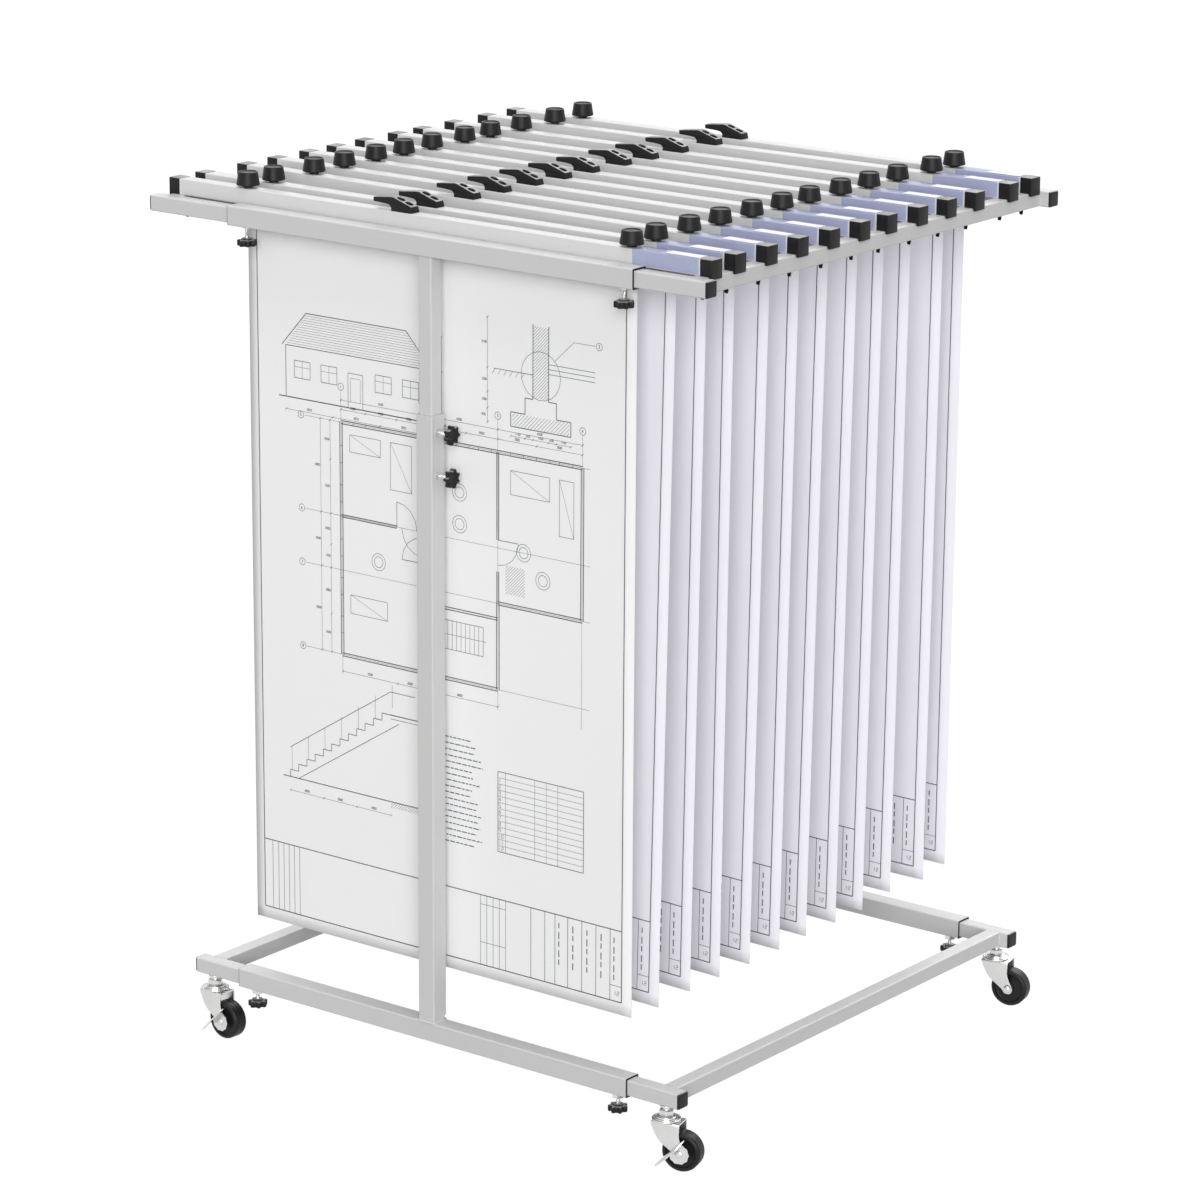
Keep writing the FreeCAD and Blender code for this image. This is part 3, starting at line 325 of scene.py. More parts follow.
def wear_effect() -> Tree:
    """How near a point lies to an outer edge: where the rounded normal leaves the real one."""
    group, net, given, result = new_effect("edge_wear_and_highlight", {"Gain": 6.0, "Scale": 60.0}, ("Mask",))
    soft = net.add("Bevel", {"Radius": EDGE_RADIUS}, samples=4).outputs["Normal"]
    real = net.add("NewGeometry").outputs["Normal"]
    dot = net.add("VectorMath", {0: soft, 1: real}, operation="DOT_PRODUCT").outputs["Value"]
    noise = net.noise(given["Vector"], given["Scale"])
    strong = net.sums("MULTIPLY", net.sums("SUBTRACT", 1.0, dot), given["Gain"])
    net.wire(result, {"Mask": net.sums("MULTIPLY", strong, noise)})
    return group


def dust_effect() -> Tree:
    """A light grey on faces that look upward, broken up by a noise: settled dust, and on the black
    plastics a painted sheen.
    """
    values = {"Amount": 0.2, "Scale": 25.0}
    group, net, given, result = new_effect("upward_dust_and_sheen", values, ("Mask",))
    normal = net.add("NewGeometry").outputs["Normal"]
    up = net.add("SeparateXYZ", {"Vector": normal}).outputs["Z"]
    noise = net.noise(given["Vector"], given["Scale"], Detail=5.0)
    level = net.sums("MULTIPLY", net.sums("SUBTRACT", up, DUST_AND_SHEEN_LEVEL), DUST_AND_SHEEN_RAMP)
    upward_share = net.sums("MULTIPLY", level, noise)
    net.wire(result, {"Mask": net.sums("MULTIPLY", upward_share, given["Amount"])})
    return group


# ---------------------------------------------------------------- finishes


@dataclass(frozen=True)
class Finish:
    """A surface finish: its colours, gloss and the strength of each shared effect.

    Attributes:
        name: The material's name.
        slot: The record's material slot. Not used by the script.
        colour: Base colour, linear.
        broad_colour: Colour that the slow variation turns to.
        edge_colour: Colour along edges: worn edges, and on the clear film a painted highlight.
        metallic: 0 for paint and plastic, 1 for bare metal.
        roughness: Even part of the roughness.
        roughness_spread: How much the grain adds to the roughness.
        bump: Height of the grain's relief, in metres.
        fine_scale: Scale of the grain.
        broad_scale: Scale of the slow variation.
        edge_gain: Strength of the edge colour along edges.
        dust: Strength of a light grey on upward faces: settled dust, and on the black plastics a
            painted sheen.
        coat: Weight of a clear coat.
        alpha: 1 for a solid finish, less for a clear film.
        specular: Strength of the reflection, 0.5 for common plastic and paint.
        stretch: Scale of the pattern along X, Y and Z, below 1 where it is drawn out.
    """

    name: str
    slot: str
    colour: Colour
    broad_colour: Colour
    edge_colour: Colour
    metallic: float = 0.0
    roughness: float = 0.5
    roughness_spread: float = 0.1
    bump: float = 2e-5
    fine_scale: float = 700.0
    broad_scale: float = 7.0
    edge_gain: float = 2.0
    dust: float = 0.1
    coat: float = 0.0
    alpha: float = 1.0
    specular: float = 0.5
    stretch: Colour = (1.0, 1.0, 1.0)

    def material(self, grain: Tree, edge_effect: Tree, dust: Tree) -> bpy.types.Material:
        """The finish's new material, from the shared groups."""
        material = bpy.data.materials.new(self.name)
        material.use_nodes = True
        net = Net(material.node_tree)
        where = {"Vector": net.add("TexCoord").outputs["Object"], "Scale": self.stretch}
        spot = net.add("Mapping", where).outputs["Vector"]
        scales = {"Vector": spot, "Fine Scale": self.fine_scale, "Broad Scale": self.broad_scale}
        noise = net.add("Group", scales, node_tree=grain).outputs
        gain = {"Vector": spot, "Gain": self.edge_gain}
        edge_share = net.add("Group", gain, node_tree=edge_effect).outputs["Mask"]
        amount = {"Vector": spot, "Amount": self.dust}
        dust_and_sheen_mask = net.add("Group", amount, node_tree=dust).outputs["Mask"]
        tone = net.mixed(noise["Broad"], self.colour, self.broad_colour)
        # Edge colour: wear, and on the clear film a painted highlight; light grey on upward faces:
        # dust, and on the black plastics a painted sheen.
        tone = net.mixed(dust_and_sheen_mask, net.mixed(edge_share, tone, self.edge_colour), DUST_AND_SHEEN_COLOUR)
        low, high = (self.roughness + side * self.roughness_spread / 2 for side in (-1, 1))
        gloss = net.add("MapRange", {"Value": noise["Fine"], "To Min": low, "To Max": high})
        relief = {"Height": noise["Fine"], "Strength": BUMP_STRENGTH, "Distance": self.bump}
        looks = {
            "Base Color": tone,
            "Metallic": self.metallic,
            "Roughness": gloss.outputs["Result"],
            "Normal": net.add("Bump", relief).outputs["Normal"],
            "Coat Weight": self.coat,
            "Coat Roughness": COAT_ROUGHNESS,
            "Alpha": self.alpha,
            "Specular IOR Level": self.specular,
        }
        net.wire(net.nodes["Principled BSDF"], looks)
        return material


FRAME_PAINT = Finish(
    "satin_grey_paint", "frame_paint", (0.62, 0.62, 0.616), (0.596, 0.596, 0.594),
    (0.76, 0.76, 0.75), roughness=0.42, roughness_spread=0.12, bump=3e-5, fine_scale=900.0,
    edge_gain=1.2, dust=0.04, coat=0.12,
)
CLAMP_COAT = Finish(
    "satin_clamp_coat", "clamp_aluminium", (0.66, 0.66, 0.658), (0.63, 0.63, 0.63),
    (0.78, 0.78, 0.77), roughness=0.4, roughness_spread=0.14, bump=1.5e-5, fine_scale=500.0,
    edge_gain=1.2, dust=0.03, coat=0.15, stretch=(0.05, 1.0, 1.0),
)
JAW_METAL = Finish(
    "drawn_aluminium", "clamp_aluminium", (0.55, 0.55, 0.55), (0.48, 0.48, 0.49),
    (0.75, 0.75, 0.75), metallic=0.85, roughness=0.38, fine_scale=500.0, dust=0.02,
    stretch=(0.03, 1.0, 1.0),
)
# The black plastics' upward faces get a light grey painted sheen at the full strength of 1.0; the
# handles keep it and the clamp knobs take 0.3.
BLACK_PLASTIC = Finish(
    "matt_black_plastic", "black_plastic", (0.009, 0.009, 0.010), (0.013, 0.013, 0.014),
    (0.09, 0.09, 0.09), roughness=0.42, roughness_spread=0.14, bump=6e-5, fine_scale=1400.0,
    broad_scale=40.0, edge_gain=1.8, dust=1.0, specular=0.2,
)
KNOB_PLASTIC = replace(BLACK_PLASTIC, name="knob_black_plastic", dust=0.3)
HANDLE_PLASTIC = replace(
    BLACK_PLASTIC, name="handle_black_plastic", colour=(0.008, 0.008, 0.009),
    broad_colour=(0.012, 0.012, 0.013), edge_colour=(0.12, 0.12, 0.12), roughness=0.45,
    edge_gain=1.2,
)
WHEEL_RUBBER = Finish(
    "wheel_black", "wheel_black", (0.007, 0.007, 0.008), (0.011, 0.011, 0.012), (0.04, 0.04, 0.04),
    roughness=0.4, roughness_spread=0.18, bump=5e-5, fine_scale=900.0, broad_scale=60.0,
    edge_gain=1.4, dust=0.05, specular=0.24,
)
BLACK_SCREW = Finish(
    "blackened_screw", "zinc", (0.03, 0.03, 0.03), (0.05, 0.05, 0.05), (0.2, 0.2, 0.2),
    metallic=0.6, roughness=0.4, fine_scale=900.0, broad_scale=60.0, edge_gain=1.0, dust=0.0,
)
ZINC_PLATE = Finish(
    "bright_zinc_plate", "zinc", (0.74, 0.74, 0.73), (0.6, 0.6, 0.6), (0.9, 0.9, 0.89),
    metallic=0.95, roughness=0.26, roughness_spread=0.16, bump=3e-5, fine_scale=500.0,
    broad_scale=45.0, edge_gain=1.0, dust=0.03,
)
# The film's near-white edge colour at a gain of 7 paints bright highlights along its edges.
BLUE_FILM = Finish(
    "clear_blue_film", "clear_blue", (0.30, 0.36, 0.74), (0.34, 0.40, 0.78), (0.95, 0.97, 1.0),
    roughness=0.14, roughness_spread=0.08, bump=1e-5, fine_scale=120.0, broad_scale=20.0,
    edge_gain=7.0, dust=0.0, coat=0.5, alpha=0.22,
)
WHITE_PAPER = Finish(
    "drawing_paper", "paper", (0.94, 0.94, 0.945), (0.915, 0.915, 0.925), (0.95, 0.95, 0.95),
    roughness=0.75, bump=4e-5, fine_scale=500.0, broad_scale=5.0, edge_gain=0.0, dust=0.0,
)
# The sheets behind the first: the same paper with a lavender tint painted in for the shade between
# the sheets.
SHADED_PAPER = replace(
    WHITE_PAPER, name="drawing_paper_shade_tint", colour=(0.93, 0.92, 0.97),
    broad_colour=(0.9, 0.89, 0.95), edge_colour=(0.93, 0.93, 0.96),
)
LABEL_PAPER = replace(
    WHITE_PAPER, name="label_paper", colour=(0.76, 0.76, 0.81), broad_colour=(0.73, 0.73, 0.78),
    edge_colour=(0.8, 0.8, 0.84), roughness=0.7, bump=2e-5,
)
PRINT_INK = Finish(
    "print_ink", "paper", (0.06, 0.06, 0.065), (0.1, 0.1, 0.105), (0.1, 0.1, 0.1), roughness=0.8,
    fine_scale=900.0, broad_scale=60.0, edge_gain=0.0, dust=0.0,
)
SHOW_THROUGH = replace(
    PRINT_INK, name="print_showing_through", colour=(0.68, 0.68, 0.7),
    broad_colour=(0.74, 0.74, 0.76), edge_colour=(0.74, 0.74, 0.76),
)
GRIP_RUBBER = replace(
    PRINT_INK, name="grip_rubber", slot="black_plastic", colour=(0.005, 0.005, 0.005),
    broad_colour=(0.008, 0.008, 0.008), edge_colour=(0.02, 0.02, 0.02), roughness=0.7,
    specular=0.1,
)


class Workshop:
    """Makes finished objects from meshes: material, body and what they stand for."""

    def __init__(self) -> None:
        """Builds the shared effects."""
        self.effects = grain_effect(), wear_effect(), dust_effect()
        self.materials: dict[str, bpy.types.Material] = {}
        self.count = 0

    def material(self, finish: Finish) -> bpy.types.Material:
        """The finish's material, built at its first use."""
        if finish.name not in self.materials:
            self.materials[finish.name] = finish.material(*self.effects)
        return self.materials[finish.name]

    def piece(
        self, name: str, mesh: Mesh, finish: Finish, body: str, node: str | None, at: Matrix
    ) -> bpy.types.Object:
        """Puts a copy of a mesh into the scene as a finished piece.

        Args:
            name: The piece's name.
            mesh: The master mesh, at its own origin.
            finish: Its finish.
            body: The body that it moves with.
            node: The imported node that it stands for, if it stands for one.
            at: Where the mesh goes, in metres.

        Returns:
            The object, at the origin, with its place in its mesh.
        """
        own = mesh.copy()
        own.name = name
        own.transform(at)
        own.materials.clear()
        own.materials.append(self.material(finish))
        piece = bpy.data.objects.new(name, own)
        bpy.context.scene.collection.objects.link(piece)
        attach(piece, body)
        if node:
            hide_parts(node)
        self.count += 1
        logger.info("piece %s on %s", name, body)
        return piece

    def dress(self, node: str, finish: Finish) -> None:
        """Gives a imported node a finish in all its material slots."""
        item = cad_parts[node]
        material = self.material(finish)
        if not item.material_slots:
            item.data.materials.append(material)
        for held in item.material_slots:
            held.material = material
        logger.info("node %s dressed in %s", node, finish.name)


def place(x: float, y: float, z: float, turn: float = 0.0, axis: str = "Z") -> Matrix:
    """A placement at x, y, z in millimetres, turned by degrees about an axis."""
    shift = Matrix.Translation(Vector((x, y, z)) * MM)
    return shift @ Matrix.Rotation(math.radians(turn), 4, axis)


# ---------------------------------------------------------------- frame

SIDES = {"left": -1, "right": 1}
RAILS = {"front": -1, "back": 1}
LEVELS = {"base": 92.0, "top": 1095.0}


@dataclass(frozen=True)
class Frame:
    """The square-tube frame: packed tubes with their paint, seams, caps and bushes."""

    upright_x: float = 14.0
    rail_y: float = 368.0
    sleeve_width: float = 25.0
    arm_width: float = 20.0
    corner: float = 1.8
    cap_plate: float = 2.5
    cap_plug: float = 16.8
    base_end: float = 391.0
    top_end: float = 432.0
    seam: float = 1.1
    ripple: float = 1.6

    def tube_end(self, level: str, side: int) -> float:
        """Where an arm's open end lies along X."""
        return self.upright_x + side * self.base_end if level == "base" else side * self.top_end

    def cap_mesh(self) -> Mesh:
        """The cap over a tube's end: a plate whose face is slightly crowned, with X outwards.

        The outline shrinks over the last part of the thickness as a quarter of an ellipse.
        """
        rows = []
        for share in (0.0, 0.35, 0.6, 0.8, 0.93, 1.0):
            inset = 1.3 * (1 - math.sqrt(1 - share**2)) if share < 1 else 1.5
            width = self.arm_width - 2 * inset
            outline = rectangle(width, width, self.corner + 0.6)
            rows.append(np.insert(outline, X, share * self.cap_plate, axis=1))
        plug = bar(rectangle(self.cap_plug, self.cap_plug, 0.6), X, -10.0, 0.0)
        return made("tube_cap", tube(np.array(rows)) + plug)

    def seam_mesh(self, name: str, width: float) -> Mesh:
        """A weld seam round a square tube's foot: a ripple carried along the tube's outline.

        Its section is a circle of the seam's size whose radius swells by a tenth with each ripple.
        """
        outline = rectangle(width, width, self.corner, 4)
        closed = np.concatenate([outline, outline[:1]])
        length = np.insert(np.cumsum(np.linalg.norm(np.diff(closed, axis=0), axis=1)), 0, 0.0)
        along = np.linspace(0.0, length[-1], 120, endpoint=False)
        path = np.stack([np.interp(along, length, column) for column in closed.T], 1)
        ahead = np.roll(path, -1, 0) - np.roll(path, 1, 0)
        out = np.stack([ahead[:, 1], -ahead[:, 0]], 1) / np.linalg.norm(ahead, axis=1)[:, None]
        swell = self.seam * (1 + 0.1 * np.cos(along * 2 * np.pi / self.ripple))[:, None]
        flat = path[:, None] + out[:, None] * (swell * np.cos(turns(8)))[..., None]
        ring = np.concatenate([flat, (swell * np.sin(turns(8)))[..., None]], -1)
        return made(name, grid(np.concatenate([ring, ring[:1]]), around=True))

    def build(self, shop: Workshop) -> None:
        """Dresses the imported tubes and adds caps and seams."""
        for node in ("base_sleeves", "lower_posts", "top_sleeves", "upper_posts"):
            shop.dress(node, FRAME_PAINT)
        for level in LEVELS:
            shop.dress(f"{level}_glide_bushes", BLACK_PLASTIC)
            shop.dress(f"{level}_screw_nuts", ZINC_PLATE)
            for side in SIDES:
                shop.dress(f"{level}_{side}_end_frame", FRAME_PAINT)
        cap = self.cap_mesh()
        ends = product(LEVELS.items(), SIDES.items(), RAILS.items())
        for (level, height), (side_name, side), (rail_name, rail) in ends:
            turn = 0.0 if side > 0 else 180.0
            spot = place(self.tube_end(level, side), rail * self.rail_y, height, turn)
            name, end = f"{level}_{rail_name}_{side_name}_cap", f"{level}_{side_name}"
            shop.piece(name, cap, BLACK_PLASTIC, f"{end}_end", f"{end}_tube_caps", spot)
        foot = self.seam_mesh("foot_seam", self.sleeve_width)
        head = self.seam_mesh("head_seam", self.arm_width)
        half = self.sleeve_width / 2
        for rail_name, rail in RAILS.items():
            low = place(self.upright_x, rail * self.rail_y, LEVELS["base"] + half)
            high = place(self.upright_x, rail * self.rail_y, LEVELS["top"] - half)
            shop.piece(f"{rail_name}_foot_seam", foot, FRAME_PAINT, "base", None, low)
            shop.piece(f"{rail_name}_head_seam", head, FRAME_PAINT, "top_frame", None, high)


# ---------------------------------------------------------------- star knobs

# Height of each knob on a post, and how far its head is turned.
POST_KNOBS = {"upper": (865.0, 17.0), "lower": (811.0, 40.0)}


@dataclass(frozen=True)
class StarKnob:
    """A clamping knob: a seven-lobed head with a hollow face, a collar and a threaded screw."""

    radius: float = 12.5
    height: float = 8.0
    lobes: int = 7
    scallop: float = 4.2
    scallop_place: float = 13.6
    standoff: float = 17.0
    collar_radius: float = 6.5
    collar_height: float = 2.0
    screw_radius: float = 2.5
    screw_tip: float = 2.2
    thread_pitch: float = 0.8
    rail_place: float = 294.0

    def rim(self, columns: int = 126) -> np.ndarray:
        """Radius round the head.

        It is the smaller of the disc's radius and the near side of a scallop circle: with f the
        angle from the scallop, c its centre's distance and s its radius, c cos f less the root of
        s squared less (c sin f) squared.
        """
        pitch = 2 * np.pi / self.lobes
        away = (turns(columns) + pitch / 2) % pitch - pitch / 2
        inside = self.scallop**2 - (self.scallop_place * np.sin(away)) ** 2
        near = self.scallop_place * np.cos(away) - np.sqrt(np.maximum(inside, 0.0))
        radius = np.where(inside > 0, np.minimum(near, self.radius), self.radius)
        smooth = (np.roll(radius, 1) + 2 * radius + np.roll(radius, -1)) / 4
        return np.minimum(smooth, self.radius)

    def head_mesh(self) -> Mesh:
        """The head: the lobed rim drawn in towards both faces, with a hollow in the outer face.

        Each row is (height, share of the rim, inset): radius = share * rim - inset.
        """
        rim, collar = self.rim(), self.collar_radius
        top, foot = -self.standoff, -self.standoff - self.height
        start = top + self.collar_height
        rows = [
            (start, 0.0, 0.5 - collar), (start - 0.4, 0.0, -collar), (top + 0.3, 0.0, -collar),
            (top, 0.3, -0.75 * collar), (top, 1.0, 1.4), (top - 0.3, 1.0, 0.6),
            (top - 1.1, 1.0, 0.0), (foot + 1.3, 1.0, 0.0), (foot + 0.4, 1.0, 0.5),
            (foot, 1.0, 1.4), (foot + 0.1, 0.82, 1.2), (foot + 1.2, 0.66, 1.2),
            (foot + 1.5, 0.3, 0.5),
        ]
        height, share, inset = np.array(rows).T[..., None]
        return made("star_head", tube(polar(share * rim - inset, turns(len(rim)), height)))

    def screw_mesh(self) -> Mesh:
        """The screw, from inside the head to its tip in the tube."""
        foot = -self.standoff + self.collar_height - 0.5
        thread = screw_thread(self.screw_radius, self.thread_pitch, foot, self.screw_tip)
        return made("star_screw", thread)

    def build(self, shop: Workshop, fixed: Frame) -> None:
        """Puts the twelve knobs in place of their nodes."""
        head, screw = self.head_mesh(), self.screw_mesh()
        half = fixed.sleeve_width / 2
        spots: dict[str, Matrix] = {}
        sleeves = product(LEVELS.items(), RAILS.items(), SIDES.items())
        for (level, height), (rail_name, rail), (side_name, side) in sleeves:
            x, y = fixed.upright_x + side * self.rail_place, rail * fixed.rail_y
            spot = place(x, y, height - half, 11.0 + 23.0 * side * rail)
            spots[f"{level}_{rail_name}_{side_name}_knob"] = spot
        posts = product(RAILS.items(), POST_KNOBS.items())
        for (rail_name, rail), (label, (height, twist)) in posts:
            x, y = fixed.upright_x - rail * half, rail * fixed.rail_y
            spot = place(x, y, height, rail * 90.0, "Y") @ place(0.0, 0.0, 0.0, twist)
            spots[f"{rail_name}_post_{label}_knob"] = spot
        for node, spot in spots.items():
            shop.piece(f"{node}_head", head, BLACK_PLASTIC, node, node, spot)
            shop.piece(f"{node}_screw", screw, ZINC_PLATE, node, node, spot)


# ---------------------------------------------------------------- casters

CASTER_YAWS = {"front_left": -3.0, "front_right": 15.0, "back_left": 8.0, "back_right": 11.0}


@dataclass(frozen=True)
class Caster:
    """A swivel caster: race, fork, wheel and, in front, a brake lever."""

    wheel_radius: float = 25.0
    wheel_width: float = 20.0
    trail: float = 22.5
    crown_top: float = 62.0
    plate: float = 2.0
    side_gap: float = 1.5
    stem_place: float = 368.0

    @property
    def half(self) -> float:
        """Half the fork's width over its plates."""
        return self.wheel_width / 2 + self.side_gap + self.plate

    def at_axle(self, shell: Shell) -> Shell:
        """A round body about Z laid along the axle, its low end towards the viewer in front."""
        return shell.turned("X", -90.0).moved(self.trail, 0.0, self.wheel_radius)

    def wheel_mesh(self) -> Mesh:
        """The wheel: a profile carried round the axle, each point (radius, way in from the side).

        From the bore it follows the hub, the dished web, the rim's inner lip, the rounded
        shoulder, and the tread with three grooves; the far side mirrors the near one.
        """
        r, w = self.wheel_radius, self.wheel_width / 2
        side = [
            (3.05, -1.2), (6.9, -1.2), (7.5, -0.8), (7.6, 3.0), (9.0, 3.5), (17.6, 3.5),
            (18.9, 2.9), (19.5, 0.5), (19.9, 0.05), (22.0, 0.0), (23.2, 0.4), (24.2, 1.3),
            (24.8, 2.4), (r, 3.4), (r, 4.5), (r - 0.7, 4.9), (r - 0.7, 5.3), (r, 5.7),
            (r, w - 0.6), (r - 0.7, w - 0.25),
        ]
        near = [(radius, way - w) for radius, way in side]
        far = [(radius, w - way) for radius, way in reversed(side)]
        return made("caster_wheel", self.at_axle(lathe(near + far + near[:1], 72)))

    def fork_mesh(self) -> Mesh:
        """The fork: an inverted U carried along X and trimmed to the plates' side view."""
        half, crown, inner = self.half, self.crown_top, self.half - self.plate
        foot, ceiling = 10.0, crown - self.plate
        u_shape = rounded(
            [
                (-half, foot), (-half, crown), (half, crown), (half, foot),
                (inner, foot), (inner, ceiling), (-inner, ceiling), (-inner, foot),
            ],
            [0, 3.0, 3.0, 0, 0, 1.2, 1.2, 0],
        )
        channel = raw_mesh("caster_fork", bar(u_shape, X, -40.0, 60.0))
        r, x = self.wheel_radius, self.trail
        side_view = rounded(
            [
                (-15.5, crown + 1), (-15.5, crown - 3.5), (-6.2, 39.0), (x - 7.2, r - 1.5),
                (x - 4.2, r - 7.0), (x + 4.2, r - 7.0), (x + 7.6, r - 1.0), (21.5, 42.5),
                (21.5, crown + 1),
            ],
            [0, 3, 8, 2.8, 2.8, 2.8, 2.8, 6, 0],
        )
        trimmed = carved(channel, bar(side_view, Y, -half - 5, half + 5), "INTERSECT")
        return finished(carved(trimmed, lathe([(5.05, 50.0), (5.05, 70.0)], 32)), 0.5)

    def axle_mesh(self) -> Mesh:
        """The axle, with a domed rivet head at each end."""
        near, far = -(self.half + 2.0), self.half
        dome = [(0.0, 2.0), (2.0, 1.9), (3.6, 1.4), (4.6, 0.7), (5.0, 0.1), (5.0, 0.0)]
        profile = [(r, near - z) for r, z in dome] + [(3.0, near), (3.0, far)]
        profile += [(r, far + z) for r, z in reversed(dome)]
        return made("caster_axle", self.at_axle(lathe(profile, 32)))

    def race_mesh(self) -> Mesh:
        """The riveted race on the stem: rings of radius and height."""
        foot = self.crown_top + 0.3
        rings = [
            (17.0, 0.0), (17.9, 0.4), (18.2, 1.2), (17.9, 2.0), (16.9, 2.4), (16.2, 1.5),
            (15.5, 1.5), (15.0, 3.1), (13.9, 3.4), (13.3, 2.6), (12.8, 2.7), (12.2, 4.5),
            (10.6, 5.4), (9.5, 5.5), (5.0, 5.5),
        ]
        below = [(0.0, 57.3), (8.0, 57.3), (8.0, 59.8), (5.0, 59.8), (5.0, foot)]
        above = [(5.0, 90.0), (0.0, 90.0)]
        profile = below + [(radius, foot + rise) for radius, rise in rings] + above
        return made("caster_race", lathe(profile, 64))

    def nut_mesh(self) -> Mesh:
        """The six-sided lock nut over the race, and the welded boss under the arm."""
        foot = self.crown_top + 5.8
        corner = 17.0 / math.sqrt(3.0)
        ring = [(corner - 1.0, 0.0), (corner, 0.7), (corner, 6.6), (corner - 1.0, 7.4)]
        nut = lathe([(radius, foot + rise) for radius, rise in ring], 6)
        return made("caster_nut", nut + lathe([(8.5, 79.0), (8.5, 80.6), (7.6, 82.0)]), 0.2)

    def lever_mesh(self) -> Mesh:
        """The brake lever: a wavy disc round the axle and a blade bent outwards along its edge.

        The disc's radius is 12.6 plus 0.4 times the cosine of ten turns, cut straight at the bend,
        9.7 from the axle; the blade is a curved strip, length s along the slope and t outwards,
        that sags by t squared / 40.
        """
        inner, turn = self.half + 0.3, turns(72)
        lean = np.cos(turn - math.radians(225.0))
        rim = np.minimum(12.6 + 0.4 * np.cos(10 * turn), 9.7 / np.maximum(lean, 0.01))
        rows = [
            (3.1, 0.0), (3.1, 1.5), (5.2, 1.5), (6.2, 1.1),
            (rim - 0.9, 1.1), (rim, 1.4), (rim, 0.2), (3.1, 0.0),
        ]
        rings = [polar(reach, turn, -inner - depth) for reach, depth in rows]
        disc = self.at_axle(grid(np.array(rings), around=True))
        along = np.linspace(-33.0, 18.0, 28)[:, None]
        reach = np.interp(along, [-33, -29, -14, 4, 14, 18], [6.0, 8.2, 11.0, 10.6, 6.5, 3.0])
        out = reach * np.linspace(0.0, 1.0, 9)
        faces = []
        for lift in (0.0, -1.4):
            rise = 9.6 + lift - out**2 / 40 + 0.6 * np.sin((along + 33) / 51 * np.pi)
            faces.append(np.stack([along + 0 * out, -inner - out, rise], -1))
        blade = tube(np.concatenate([faces[0], faces[1][:, ::-1]], axis=1)).turned("Y", -45.0)
        return made("brake_lever", disc + blade.moved(self.trail, 0, self.wheel_radius))

    def build(self, shop: Workshop, fixed: Frame) -> None:
        """Puts the four casters in place of their nodes."""
        wheel, fork, axle = self.wheel_mesh(), self.fork_mesh(), self.axle_mesh()
        race, nut, lever = self.race_mesh(), self.nut_mesh(), self.lever_mesh()
        for (rail_name, rail), (side_name, side) in product(RAILS.items(), SIDES.items()):
            name = f"{rail_name}_{side_name}"
            still = place(fixed.upright_x + side * self.stem_place, rail * fixed.rail_y, 0.0)
            turned = still @ place(0.0, 0.0, 0.0, CASTER_YAWS[name])
            end, stems = f"base_{side_name}_end", f"base_{side_name}_caster_stems"
            swivel, fork_node = f"{name}_swivel", f"{name}_caster_fork"
            shop.piece(f"{name}_race", race, ZINC_PLATE, end, stems, still)
            shop.piece(f"{name}_lock_nut", nut, ZINC_PLATE, end, stems, still)
            shop.piece(f"{name}_fork", fork, ZINC_PLATE, swivel, fork_node, turned)
            shop.piece(f"{name}_axle", axle, ZINC_PLATE, swivel, fork_node, turned)
            wheel_node = f"{name}_caster_wheel"
            shop.piece(f"{name}_tyre", wheel, WHEEL_RUBBER, f"{name}_wheel", wheel_node, turned)
            if rail < 0:
                body, node = f"{name}_lever", f"{name}_brake_lever"
                shop.piece(f"{name}_lever_plate", lever, ZINC_PLATE, body, node, turned)


# ---------------------------------------------------------------- hanging clamps


